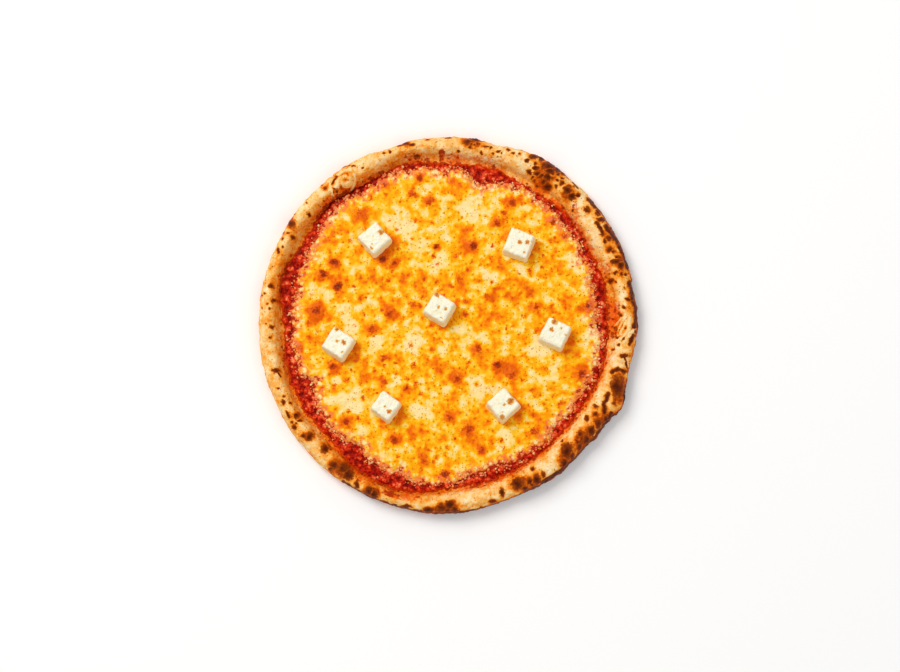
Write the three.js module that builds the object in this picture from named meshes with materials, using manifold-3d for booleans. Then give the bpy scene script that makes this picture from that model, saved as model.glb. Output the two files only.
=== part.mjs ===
// A baked three cheese pizza, whole and uncut: a stretched dough disc with a raised, blistered rim, a layer
// of tomato sauce that shows as a ragged ring, one melted layer of two cheeses fused together, and seven
// cubes of a white brined cheese pressed into it.
// Millimetres, +Z up. The origin is the middle of the flat underside. Angles run counter-clockwise from +X.
import * as THREE from "three";
import { ImprovedNoise } from "three/addons/math/ImprovedNoise.js";
import { mergeVertices } from "three/addons/utils/BufferGeometryUtils.js";
import Module from "manifold-3d";

// Driving dimensions.
const PIZZA_RADIUS = 150;
const RIM_HEIGHT = 16.5;
const RIM_BELLY = 5.5; // height of the outermost point of the rim
const RIM_CREST = 0.55; // share of the rim's width, from its foot, at which it is highest
const RIM_FULLNESS = 2.4; // power of the curves of the rim's section: 2 is an oval, more is squarer
const RIM_FILLET = { from: -0.05, to: 0.14 }; // shares of the rim's width in which its foot curves up
const UNDERSIDE_INSET = 6.5; // how far the flat underside stops short of the outer edge
const DOUGH_FLOOR = 4;
const SAUCE_THICKNESS = 1.4;
const SAUCE_SIDE = 0.8; // height of the steep side that ends the sauce at the rim
const SAUCE_UNDERCUT = 0.4; // how far that side leans in at its foot
const CHEESE_THICKNESS = 3.3;
const CUBE_SIDE = 20.8; // at the foot
const CUBE_HEIGHT = 14;
const CUBE_SINK = 1.8;
const GAP = 0.3; // left free between pieces that would touch along uneven faces

const CHEESE_LIP = 0.6; // thickness of the melted cheese at its edge
const CHEESE_BEVEL = 0.07; // share of its radius over which it thins to that

const SAUCE_TOP = DOUGH_FLOOR + SAUCE_THICKNESS;
const CHEESE_TOP = SAUCE_TOP + CHEESE_THICKNESS;

// How finely each piece is faceted.
const DOUGH_SECTORS = 144;
const CHEESE_RINGS = 28;
const CHEESE_SECTORS = 6 * CHEESE_RINGS;
const CUBE_SEGMENTS = 3;
const UNDERSIDE_TURNS = [0, 0.35, 0.65, 1]; // shares of the quarter oval under the rim
const SHOULDER_SHARES = [0.97, 0.92, 0.84, 0.74, 0.65, RIM_CREST]; // shares of the rim's width, from its foot
const SLOPE_SHARES = [0.42, 0.3, 0.2, 0.12, 0.05];
const SAUCE_SHARES = [0.8, 0.55, 0.3]; // shares of the ring of sauce that shows, from the cheese out

// Unevenness, as waves of noise: height, length, and the layer of the noise that each one reads.
const EDGE_WAVE = { height: 0.5, length: 16, layer: 3.5 };
const CREST_WAVE = { height: 1.6, length: 30, layer: 7.5 };
const CREST_RIPPLE = { height: 0.8, length: 12, layer: 1.5 };
const CRUST_WAVE = { height: 0.55, length: 9, layer: 21.5 };
const SAUCE_LUMPS = { height: 0.8, length: 4, layer: 9.5 };
const CHEESE_EDGE_WAVE = { height: 2.2, length: 15, layer: 5.5 };
const CHEESE_SWELL = { height: 0.7, length: 17, layer: 2.5 };
const CHEESE_LUMPS = { height: 0.9, length: 7, layer: 4.5 };
const CUBE_CRUMBLE = { height: 0.7, length: 5, layer: 30.5 };

// Where the outer edge leaves the circle: angle in degrees, how far out, and half the width in degrees.
const RIM_SWELLS = [
  { at: 10, by: -1.6, half: 9 },
  { at: 61, by: 1.3, half: 7 },
  { at: 76, by: -2.4, half: 7 },
  { at: 91, by: -1.2, half: 7 },
  { at: 109, by: -2.3, half: 8 },
  { at: 217, by: 0.5, half: 18 },
  { at: 291, by: -4, half: 14 },
  { at: 316, by: -4.4, half: 11 },
  { at: 328, by: -1.4, half: 3 },
  { at: 335, by: 1.6, half: 3 },
  { at: 346, by: -3, half: 8 },
];

// Radius of the rim's inner foot, and of the melted cheese's edge, every 15 degrees.
const RIM_FOOT = [
  131, 130, 126.5, 129, 130, 131, 133, 136, 132, 135, 137, 137,
  133, 133.5, 135, 132, 135, 137, 132.5, 127.5, 125.5, 124.5, 124, 128,
];
const CHEESE_EDGE = [
  120, 121, 122.5, 122, 123, 119.5, 124, 128.5, 126, 129, 127, 125,
  124.5, 125.5, 123, 125, 125.5, 128.5, 125.5, 120, 122, 118.5, 118.5, 122.5,
];

// Gaps in the cheese's edge where the sauce shows further in: angle, depth, half the width in degrees.
const CHEESE_NOTCHES = [
  { at: 1, by: -3, half: 3 },
  { at: 16, by: -4, half: 3 },
  { at: 27, by: -5, half: 1.8 },
  { at: 78, by: -6, half: 3.6 },
  { at: 92, by: -4, half: 3 },
  { at: 203, by: -7, half: 3 },
  { at: 232, by: -5, half: 4 },
  { at: 252, by: -5, half: 2.4 },
];

// The larger charred blisters of the rim: angle in degrees, share of the way from the foot to the outer edge,
// and radius.
const BLISTERS = [
  { at: 5, across: 0.84, radius: 5 },
  { at: 12, across: 0.8, radius: 4.5 },
  { at: 21, across: 0.6, radius: 4 },
  { at: 23, across: 0.85, radius: 4 },
  { at: 29, across: 0.84, radius: 5.5 },
  { at: 33, across: 0.58, radius: 4.5 },
  { at: 40.5, across: 0.82, radius: 4.5 },
  { at: 48, across: 0.46, radius: 5 },
  { at: 54.5, across: 0.84, radius: 4.5 },
  { at: 57.3, across: 0.55, radius: 6 },
  { at: 62.5, across: 0.86, radius: 5.5 },
  { at: 82.5, across: 0.86, radius: 5 },
  { at: 103, across: 0.84, radius: 3.5 },
  { at: 126, across: 0.52, radius: 7 },
  { at: 146.5, across: 0.74, radius: 4 },
  { at: 217, across: 0.46, radius: 4.5 },
  { at: 233.5, across: 0.52, radius: 7 },
  { at: 245, across: 0.8, radius: 4.8 },
  { at: 270, across: 0.6, radius: 6 },
  { at: 293, across: 0.5, radius: 6.5 },
  { at: 300, across: 0.74, radius: 5 },
  { at: 312.5, across: 0.6, radius: 6.5 },
  { at: 320, across: 0.76, radius: 4 },
  { at: 328, across: 0.76, radius: 4.5 },
  { at: 340.5, across: 0.74, radius: 6.5 },
  { at: 350, across: 0.8, radius: 4 },
];
const BLISTER_RISE = 0.2; // height of a blister over its radius
const BLISTER_SPREAD = 1.35; // how far its swelling reaches, over its radius

// Toasted domes in the melted cheese: place and radius.
const TOASTED_DOMES = [
  { x: -90.5, y: 49, radius: 6 },
  { x: -99.5, y: 40, radius: 5 },
  { x: -87.5, y: 30, radius: 7 },
  { x: -104.5, y: 10, radius: 8 },
  { x: -69, y: 87, radius: 8 },
  { x: -50.5, y: 111.5, radius: 5.5 },
  { x: -29, y: 103.5, radius: 6.5 },
  { x: 38.5, y: 80, radius: 5.5 },
  { x: 19, y: 62, radius: 5.5 },
  { x: 9, y: 37, radius: 7 },
  { x: -46.5, y: 8, radius: 6 },
  { x: 50.5, y: 96, radius: 6 },
  { x: 111, y: 14.5, radius: 5.5 },
  { x: 105, y: -39.5, radius: 6 },
  { x: 49.5, y: -40.5, radius: 7.5 },
  { x: 24, y: -20, radius: 6 },
  { x: 67.5, y: -84.5, radius: 6 },
  { x: 16, y: -83.5, radius: 7 },
  { x: -43, y: -91.5, radius: 5.5 },
  { x: -81, y: -77.5, radius: 5.5 },
  { x: -91.5, y: -33.5, radius: 5 },
  { x: -61, y: -3.5, radius: 6 },
  { x: 82, y: 81, radius: 5 },
];
const DOME_RISE = 0.14; // height of a dome over its radius
const DOME_SPREAD = 1.2;

// The white cubes: middle, turn about Z in degrees, and size against CUBE_SIDE.
const CUBES = [
  { x: -58.2, y: 66.2, turn: 42, size: 0.98 },
  { x: 55.5, y: 62.3, turn: -21, size: 1.03 },
  { x: -7.2, y: 11.2, turn: -31.5, size: 0.98 },
  { x: 83.7, y: -8.6, turn: -26.5, size: 1.01 },
  { x: -86.8, y: -16.5, turn: -33, size: 0.99 },
  { x: -49.4, y: -65.8, turn: -36, size: 0.91 },
  { x: 42.9, y: -64.6, turn: -47.5, size: 0.99 },
];
const CUBE_TAPER = 0.88; // top against bottom
const CUBE_LEAN = new THREE.Vector2(-0.3, 1.8); // how far a softened cube's top stands off its bottom
const CUBE_ROUNDING = 1.5;

const noise = new ImprovedNoise();
const TURN = 2 * Math.PI;

// A smooth closed run of values, given at even angles, as a function of the angle in radians.
function around(values) {
  const curve = new THREE.CatmullRomCurve3(
    values.map((value) => new THREE.Vector3(value, 0, 0)),
    true,
    "catmullrom",
  );
  return (angle) => curve.getPoint(THREE.MathUtils.euclideanModulo(angle / TURN, 1)).x;
}

// The sum of the swells or notches of a list at an angle in radians.
function swelling(list, angle) {
  let sum = 0;
  for (const { at, by, half } of list) {
    const away = THREE.MathUtils.euclideanModulo(THREE.MathUtils.radToDeg(angle) - at + 180, 360) - 180;
    sum += by * Math.exp(-((away / half) ** 2));
  }
  return sum;
}

// The height of a wave at a place.
function waveAt(wave, x, y, z = 0) {
  return wave.height * noise.noise(x / wave.length, y / wave.length, z / wave.length + wave.layer);
}

// The height of a wave at an angle, read along the edge of the pizza, where it closes on itself.
function waveAround(wave, angle) {
  return waveAt(wave, PIZZA_RADIUS * Math.cos(angle), PIZZA_RADIUS * Math.sin(angle));
}

// How high a round dome stands at a distance from its middle.
function dome(distance, radius, rise) {
  const share = Math.min(distance / radius, 1);
  return rise * radius * (1 - share ** 2) ** 1.5;
}

const rimFoot = around(RIM_FOOT);
const cheeseEdgeMean = around(CHEESE_EDGE);
const rimEdge = (angle) => PIZZA_RADIUS + swelling(RIM_SWELLS, angle) + waveAround(EDGE_WAVE, angle);
const rimHeight = (angle) => RIM_HEIGHT + waveAround(CREST_WAVE, angle) + waveAround(CREST_RIPPLE, angle);
const cheeseEdge = (angle) =>
  cheeseEdgeMean(angle) + swelling(CHEESE_NOTCHES, angle) + waveAround(CHEESE_EDGE_WAVE, angle);

// A solid of revolution whose section changes with the angle. sectionAt(angle) lists the section's points,
// each {r, z}, from the axis at the bottom, out, and back to the axis at the top.
function turned(sectors, sectionAt) {
  const count = sectionAt(0).length;
  const rings = [];
  for (let j = 0; j < count; j++) {
    rings.push(new THREE.Vector2(j === 0 || j === count - 1 ? 0 : 1, j));
  }
  const geometry = new THREE.LatheGeometry(rings, sectors);
  const position = geometry.getAttribute("position");
  for (let i = 0; i <= sectors; i++) {
    const angle = ((i % sectors) / sectors) * TURN;
    sectionAt(angle).forEach(({ r, z }, j) => {
      position.setXYZ(i * count + j, r * Math.cos(angle), r * Math.sin(angle), z);
    });
  }
  geometry.deleteAttribute("normal");
  geometry.deleteAttribute("uv");
  return geometry;
}

// A flat-bottomed slab with an uneven outline and top, faceted in rings: ring k of the disc has 6 k points.
function slab(rings, edgeAt, bottom, topAt) {
  const positions = [0, 0, topAt(0, 0, 0)];
  const faces = [];
  const first = (k) => (k === 0 ? 0 : 1 + 3 * k * (k - 1));
  const index = (k, i) => (k === 0 ? 0 : first(k) + (i % (6 * k)));
  for (let k = 1; k <= rings; k++) {
    for (let i = 0; i < 6 * k; i++) {
      const angle = (i / (6 * k)) * TURN;
      const r = (edgeAt(angle) * k) / rings;
      const x = r * Math.cos(angle);
      const y = r * Math.sin(angle);
      positions.push(x, y, topAt(x, y, k / rings));
    }
    for (let side = 0; side < 6; side++) {
      for (let i = 0; i < k; i++) {
        const outer = side * k + i;
        const inner = side * (k - 1) + i;
        faces.push(index(k, outer), index(k, outer + 1), index(k - 1, inner));
        if (i < k - 1) faces.push(index(k - 1, inner), index(k, outer + 1), index(k - 1, inner + 1));
      }
    }
  }
  const rim = first(rings);
  const low = positions.length / 3;
  for (let i = 0; i < 6 * rings; i++) {
    positions.push(positions[3 * (rim + i)], positions[3 * (rim + i) + 1], bottom);
  }
  const middle = positions.length / 3;
  positions.push(0, 0, bottom);
  for (let i = 0; i < 6 * rings; i++) {
    const next = (i + 1) % (6 * rings);
    faces.push(rim + i, low + i, rim + next, rim + next, low + i, low + next, low + next, low + i, middle);
  }
  const geometry = new THREE.BufferGeometry();
  geometry.setAttribute("position", new THREE.Float32BufferAttribute(positions, 3));
  geometry.setIndex(faces);
  return geometry;
}

// A point of the rim, moved out from the rim's core where a blister swells it.
function blistered(angle, { r, z }) {
  const x = r * Math.cos(angle);
  const y = r * Math.sin(angle);
  let rise = 0;
  for (const { at, across, radius } of BLISTERS) {
    const there = THREE.MathUtils.degToRad(at);
    const reach = THREE.MathUtils.lerp(rimFoot(there), rimEdge(there), across);
    const distance = Math.hypot(x - reach * Math.cos(there), y - reach * Math.sin(there));
    rise = Math.max(rise, dome(distance, BLISTER_SPREAD * radius, BLISTER_RISE));
  }
  const crest = THREE.MathUtils.lerp(rimFoot(angle), rimEdge(angle), RIM_CREST);
  const core = new THREE.Vector2(crest, DOUGH_FLOOR);
  const out = new THREE.Vector2(r, z).sub(core).normalize();
  return { r: r + rise * out.x, z: z + rise * out.y };
}

// A point of the rim with the unevenness of baked dough, which fades out towards the floor.
function roughened(angle, { r, z }) {
  const lift = waveAt(CRUST_WAVE, r * Math.cos(angle), r * Math.sin(angle), z);
  return { r, z: z + lift * THREE.MathUtils.clamp((z - DOUGH_FLOOR) / 2, 0, 1) };
}

// The under side of the rim, from the axis out to its widest point, as a quarter of an oval.
function undersideSection(edge) {
  const section = [{ r: 0, z: 0 }];
  for (const turn of UNDERSIDE_TURNS) {
    const lift = (turn * Math.PI) / 2;
    const r = edge - UNDERSIDE_INSET * (1 - Math.sin(lift));
    section.push({ r, z: RIM_BELLY * (1 - Math.cos(lift)) });
  }
  return section;
}

// The upper side of the rim: round outer shoulder, broad crest, and the slope down to a fillet at its foot.
function crestSection(angle, foot, edge) {
  const width = edge - foot;
  const top = rimHeight(angle);
  const section = [];
  for (const share of SHOULDER_SHARES) {
    const shoulder = Math.sqrt(1 - ((share - RIM_CREST) / (1 - RIM_CREST)) ** RIM_FULLNESS);
    section.push({ r: foot + share * width, z: RIM_BELLY + (top - RIM_BELLY) * shoulder });
  }
  for (const share of SLOPE_SHARES) {
    const climb = 1 - (1 - share / RIM_CREST) ** RIM_FULLNESS;
    const fillet = THREE.MathUtils.smoothstep(share, RIM_FILLET.from, RIM_FILLET.to);
    section.push({ r: foot + share * width, z: DOUGH_FLOOR + (top - DOUGH_FLOOR) * climb * fillet });
  }
  return section.map((point) => roughened(angle, blistered(angle, point)));
}

// Half a section of the dough.
function doughSection(angle) {
  const foot = rimFoot(angle);
  const edge = rimEdge(angle);
  const floor = [{ r: foot, z: DOUGH_FLOOR }, { r: 0, z: DOUGH_FLOOR }];
  return [...undersideSection(edge), ...crestSection(angle, foot, edge), ...floor];
}

// The sauce lies flat under the cheese and stands in lumps in the ring that shows.
function sauceSection(angle) {
  const from = cheeseEdge(angle) + GAP;
  const edge = rimFoot(angle) - GAP;
  const section = [
    { r: 0, z: DOUGH_FLOOR },
    { r: edge - SAUCE_UNDERCUT, z: DOUGH_FLOOR },
    { r: edge, z: DOUGH_FLOOR + SAUCE_SIDE },
  ];
  for (const share of SAUCE_SHARES) {
    const r = from + share * (edge - from);
    const lump = waveAt(SAUCE_LUMPS, r * Math.cos(angle), r * Math.sin(angle));
    section.push({ r, z: SAUCE_TOP + SAUCE_LUMPS.height / 2 + lump });
  }
  return [...section, { r: from, z: SAUCE_TOP }, { r: 0, z: SAUCE_TOP }];
}

// Top of the melted cheese: low swells, small lumps, toasted domes, and a thin ragged edge.
function cheeseTop(x, y, share) {
  let rise = 0;
  for (const spot of TOASTED_DOMES) {
    rise = Math.max(rise, dome(Math.hypot(x - spot.x, y - spot.y), DOME_SPREAD * spot.radius, DOME_RISE));
  }
  const full = CHEESE_TOP + waveAt(CHEESE_SWELL, x, y) + waveAt(CHEESE_LUMPS, x, y) + rise;
  const thickening = THREE.MathUtils.smoothstep(1 - share, 0, CHEESE_BEVEL);
  return THREE.MathUtils.lerp(SAUCE_TOP + CHEESE_LIP, full, thickening);
}

// A cube of brined cheese, softened by the oven: rounded edges, rough faces and a wider foot. Its flat
// underside is at z = 0.
function cubeGeometry(size, seed) {
  const side = CUBE_SIDE * size;
  const cuts = [CUBE_SEGMENTS, CUBE_SEGMENTS, CUBE_SEGMENTS];
  const geometry = new THREE.BoxGeometry(side, side, CUBE_HEIGHT, ...cuts);
  const position = geometry.getAttribute("position");
  const half = new THREE.Vector3(side / 2, side / 2, CUBE_HEIGHT / 2);
  const inner = half.clone().subScalar(CUBE_ROUNDING);
  const point = new THREE.Vector3();
  for (let i = 0; i < position.count; i++) {
    point.fromBufferAttribute(position, i);
    const underside = point.z < -inner.z;
    const held = point.clone().clamp(inner.clone().negate(), inner);
    const out = point.clone().sub(held).normalize();
    point.copy(held).addScaledVector(out, CUBE_ROUNDING);
    if (underside) point.z = -half.z;
    else point.addScaledVector(out, waveAt(CUBE_CRUMBLE, point.x + seed * CUBE_SIDE, point.y, point.z));
    const up = (point.z + half.z) / CUBE_HEIGHT;
    const scale = THREE.MathUtils.lerp(1, CUBE_TAPER, up);
    position.setXYZ(i, point.x * scale, point.y * scale, point.z + half.z);
  }
  geometry.deleteAttribute("normal");
  geometry.deleteAttribute("uv");
  return geometry;
}

// Turns a cube to its place on the pizza and lets its top lean away.
function cubeInPlace({ x, y, turn, size }, seed) {
  const geometry = cubeGeometry(size, seed).rotateZ(THREE.MathUtils.degToRad(turn));
  const slant = CUBE_LEAN.clone().divideScalar(CUBE_HEIGHT);
  const lean = new THREE.Matrix4().makeShear(0, 0, 0, 0, slant.x, slant.y);
  return geometry.applyMatrix4(lean).translate(x, y, CHEESE_TOP - CUBE_SINK);
}

const wasm = await Module();
wasm.setup();

// A closed geometry as a solid that can be cut.
function solidOf(geometry) {
  const merged = mergeVertices(geometry, 1e-3);
  const mesh = new wasm.Mesh({
    numProp: 3,
    vertProperties: merged.getAttribute("position").array,
    triVerts: new Uint32Array(merged.getIndex().array),
  });
  return new wasm.Manifold(mesh);
}

// A cut solid as a geometry again.
function geometryOf(solid) {
  const mesh = solid.getMesh();
  const geometry = new THREE.BufferGeometry();
  geometry.setAttribute("position", new THREE.BufferAttribute(new Float32Array(mesh.vertProperties), 3));
  geometry.setIndex(new THREE.BufferAttribute(new Uint32Array(mesh.triVerts), 1));
  return geometry;
}

// The same cube, larger all round by the gap, as the pocket that it has pressed into the cheese.
function pocket(cube, seed) {
  const share = 1 + (2 * GAP) / (CUBE_SIDE * cube.size);
  return cubeInPlace({ ...cube, size: cube.size * share }, seed).translate(0, 0, -GAP);
}

function material(color, roughness) {
  return new THREE.MeshStandardMaterial({ color, roughness, metalness: 0 });
}

function piece(name, geometry, finish) {
  const mesh = new THREE.Mesh(geometry, finish);
  mesh.name = name;
  return mesh;
}

const baked = material(0xe6bd83, 0.8);
const tomato = material(0xa82a12, 0.35);
const melted = material(0xf6b855, 0.45);
const brined = material(0xf4ecd6, 0.6);

const pizza = new THREE.Group();
pizza.name = "three_cheese_pizza";
pizza.add(piece("dough", turned(DOUGH_SECTORS, doughSection), baked));
pizza.add(piece("tomato_sauce", turned(CHEESE_SECTORS, sauceSection), tomato));

let cheese = solidOf(slab(CHEESE_RINGS, cheeseEdge, SAUCE_TOP, cheeseTop));
CUBES.forEach((cube, i) => {
  cheese = cheese.subtract(solidOf(pocket(cube, i)));
  pizza.add(piece(`cheese_cube_${i + 1}`, cubeInPlace(cube, i), brined));
});
pizza.add(piece("melted_cheese", geometryOf(cheese), melted));

export default pizza;
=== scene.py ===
"""A whole baked pizza with three cheeses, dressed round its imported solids.

Everything is in metres, +Z up, with the origin in the middle of the flat underside. Angles run
counter-clockwise from +X. The outlines of the rim and of the melted cheese, the height of the rim and the
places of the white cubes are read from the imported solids; the rest is named here.
"""

import logging
import math
from dataclasses import dataclass, field
from enum import Enum
from itertools import product

import bpy
import numpy as np
from mathutils.bvhtree import BVHTree
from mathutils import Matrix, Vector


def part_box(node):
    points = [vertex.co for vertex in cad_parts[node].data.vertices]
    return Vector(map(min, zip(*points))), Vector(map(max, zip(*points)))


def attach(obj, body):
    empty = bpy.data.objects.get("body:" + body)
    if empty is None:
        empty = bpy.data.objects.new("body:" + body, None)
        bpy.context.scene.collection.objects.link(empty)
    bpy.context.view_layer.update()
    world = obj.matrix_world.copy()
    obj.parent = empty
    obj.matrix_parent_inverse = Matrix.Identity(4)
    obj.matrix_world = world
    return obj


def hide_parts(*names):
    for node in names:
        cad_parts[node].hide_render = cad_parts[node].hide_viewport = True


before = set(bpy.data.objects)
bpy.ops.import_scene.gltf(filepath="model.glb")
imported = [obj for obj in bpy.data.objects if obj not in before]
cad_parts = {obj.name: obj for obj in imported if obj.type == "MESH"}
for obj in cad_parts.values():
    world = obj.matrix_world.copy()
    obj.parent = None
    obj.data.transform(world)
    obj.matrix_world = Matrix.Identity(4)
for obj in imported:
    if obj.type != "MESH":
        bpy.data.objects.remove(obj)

LOG = logging.getLogger("pizza")
MM = 0.001
TAU = 2 * math.pi
Array = np.ndarray
Stops = tuple[tuple[float, "Tint"], ...]


# ---------------------------------------------------------------------------------------------- numbers


def smoothstep(value: Array, low: float, high: float) -> Array:
    """A smooth rise from 0 to 1.

    Args:
        value: What is read.
        low: Where the rise starts.
        high: Where it ends.

    Returns:
        The height of the rise at each value.
    """
    share = np.clip((value - low) / (high - low), 0, 1)
    return share * share * (3 - 2 * share)


def dome(distance: Array, radius: float) -> Array:
    """A round swelling of height 1.

    Args:
        distance: How far each point is from the middle.
        radius: Where the swelling ends.

    Returns:
        Its height at each point.
    """
    return (1 - np.clip(distance / radius, 0, 1) ** 2) ** 1.5


def bell(value: Array, middle: float, width: float) -> Array:
    """A soft bump of height 1 about a middle, fallen to 0.37 at one width from it."""
    return np.exp(-(((value - middle) / width) ** 2))


def in_plan(reach: "Array | float", angle: Array) -> Array:
    """Rows of x, y and 0, from distances from the middle and angles in radians."""
    return np.column_stack([reach * np.cos(angle), reach * np.sin(angle), 0 * angle])


def turned(points: Array, degrees: float) -> Array:
    """Rows of x and y, turned counter-clockwise about the middle."""
    c, s = math.cos(math.radians(degrees)), math.sin(math.radians(degrees))
    return np.column_stack([points[:, 0] * c - points[:, 1] * s, points[:, 0] * s + points[:, 1] * c])


class Noise:
    """Smooth seeded noise that is read at whole arrays of points."""

    def __init__(self, seed: int) -> None:
        """Draws the table of slopes.

        Args:
            seed: The seed of the draw.
        """
        draw = np.random.default_rng(seed)
        self.order = draw.permutation(256)
        slopes = draw.normal(size=(256, 3))
        self.slopes = slopes / np.linalg.norm(slopes, axis=1)[:, None]

    def __call__(self, points: Array, size: float, octaves: int = 1) -> Array:
        """Reads the noise.

        Args:
            points: Rows of x, y and z in metres.
            size: The length of a wave in metres.
            octaves: How many layers are summed, each half as long and half as high as the last.

        Returns:
            A value for each point, mostly between -1 and 1.
        """
        total = np.zeros(len(points))
        for octave in range(octaves):
            total += self._layer(points * (2**octave / size) + 17.3 * octave) / 2**octave
        return 1.6 * total

    def push(self, points: Array, size: float, octaves: int, first: int) -> Array:
        """Reads three layers of the noise as a push along x, y and z.

        Args:
            points: Rows of x, y and z in metres.
            size: The length of a wave in metres.
            octaves: How many layers are summed in each direction.
            first: How far the first layer is shifted; the next two are 1 and 2 further.

        Returns:
            Rows of three numbers, mostly between -1 and 1.
        """
        return np.column_stack([self(points + (first + k), size, octaves) for k in range(3)])

    def _layer(self, points: Array) -> Array:
        """One layer of gradient noise at points given in waves."""
        cell = np.floor(points).astype(int)
        local = points - cell
        ease = local**3 * (local * (6 * local - 15) + 10)
        total = np.zeros(len(points))
        for corner in product((0, 1), repeat=3):
            x, y, z = (cell + corner).T & 255
            picked = self.slopes[self.order[(self.order[(self.order[x] + y) & 255] + z) & 255]]
            weight = np.prod(np.where(corner, ease, 1 - ease), axis=1)
            total += weight * np.sum(picked * (local - corner), axis=1)
        return total


@dataclass(frozen=True)
class Round:
    """A length that changes with the angle round the pizza, read smoothly between even steps."""

    values: Array

    def at(self, angle: Array) -> Array:
        """Reads the length.

        Args:
            angle: Angles in radians.

        Returns:
            The length at each angle, on a smooth curve through the steps.
        """
        steps = len(self.values)
        place = (angle / TAU * steps) % steps
        first = np.floor(place).astype(int)
        t = place - first
        a, b, c, d = (self.values[(first + step) % steps] for step in (-1, 0, 1, 2))
        return b + t / 2 * (c - a + t * (2 * a - 5 * b + 4 * c - d + t * (3 * (b - c) + d - a)))

    @classmethod
    def of_node(cls, points: Array, steps: int) -> "Round":
        """Reads the furthest reach of a solid all round.

        Args:
            points: The solid's corners.
            steps: How many sectors it is made of.

        Returns:
            Its outline.
        """
        return cls(by_sector(np.hypot(points[:, 0], points[:, 1]), points, steps, np.maximum))


def by_sector(values: Array, points: Array, steps: int, keep: np.ufunc) -> Array:
    """Gathers values into the even sectors that a turned solid is made of.

    Args:
        values: A value for each point.
        points: The points.
        steps: How many sectors there are.
        keep: np.maximum or np.minimum.

    Returns:
        The highest or lowest value of each sector.
    """
    sector = np.round(np.arctan2(points[:, 1], points[:, 0]) / TAU * steps).astype(int) % steps
    result = np.full(steps, -1.0 if keep is np.maximum else 1.0)
    keep.at(result, sector, values)
    return result


class Sorted:
    """Points sorted along one direction, so that those in a window are found at once."""

    def __init__(self, keys: Array) -> None:
        """Sorts the points.

        Args:
            keys: Where each point lies along the direction.
        """
        self.order = np.argsort(keys)
        self.keys = keys[self.order]

    def within(self, middle: float, reach: float) -> Array:
        """The numbers of the points no further than reach from the middle."""
        low, high = np.searchsorted(self.keys, (middle - reach, middle + reach))
        return self.order[low:high]


def direction(angle: float) -> Array:
    """The x and y of a step of length 1 at an angle in radians."""
    return np.array([math.cos(angle), math.sin(angle)])


def corners_of(node: str) -> Array:
    """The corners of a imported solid, as rows of x, y and z in metres."""
    return np.array([vertex.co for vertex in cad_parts[node].data.vertices])


def disc_of_square(u: Array, v: Array) -> tuple[Array, Array]:
    """Maps a square onto a round disc so that every small cell keeps its share of the area.

    Args:
        u: Places across the square, from -1 to 1.
        v: Places up the square, from -1 to 1.

    Returns:
        The share of the way from the middle to the edge, and the angle.
    """
    wide = np.abs(u) > np.abs(v)
    with np.errstate(divide="ignore", invalid="ignore"):
        turn = np.where(wide, math.pi / 4 * (v / u), math.pi / 2 - math.pi / 4 * (u / v))
    turn = np.nan_to_num(turn)
    reach = np.where(wide, u, v)
    return np.abs(reach), np.where(reach < 0, turn + math.pi, turn)


# ------------------------------------------------------------------------------------------ modelling


def start_clean() -> None:
    """Leaves edit mode and deselects everything, as before each new primitive."""
    if bpy.context.object and bpy.context.object.mode != "OBJECT":
        bpy.ops.object.mode_set(mode="OBJECT")
    bpy.ops.object.select_all(action="DESELECT")


def named(name: str) -> bpy.types.Object:
    """Names the active object and its mesh.

    Args:
        name: The new name.

    Returns:
        The object.
    """
    piece = bpy.context.object
    piece.name = name
    piece.data.name = name
    return piece


def points_of(piece: bpy.types.Object, what: str = "co") -> Array:
    """Reads a mesh.

    Args:
        piece: The object that holds it.
        what: co for the places of its points, normal for their directions.

    Returns:
        Rows of three numbers.
    """
    flat = np.empty(3 * len(piece.data.vertices))
    piece.data.vertices.foreach_get(what, flat)
    return flat.reshape(-1, 3)


def move_points(piece: bpy.types.Object, points: Array) -> None:
    """Puts every point of a mesh at a new place.

    Args:
        piece: The object.
        points: Rows of x, y and z in metres.
    """
    piece.data.vertices.foreach_set("co", np.ascontiguousarray(points, float).ravel())
    piece.data.update()


def swell(piece: bpy.types.Object, height: Array) -> None:
    """Moves every point of a mesh out along its own direction.

    Args:
        piece: The object.
        height: How far each point goes, in metres.
    """
    move_points(piece, points_of(piece) + height[:, None] * points_of(piece, "normal"))


def paint(piece: bpy.types.Object, layer: str, values: Array) -> None:
    """Stores a value on every point, for the materials to read.

    Args:
        piece: The object.
        layer: The attribute's name.
        values: A value for each point.
    """
    attribute = piece.data.attributes.new(layer, "FLOAT", "POINT")
    attribute.data.foreach_set("value", np.ascontiguousarray(values, np.float32))


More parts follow.
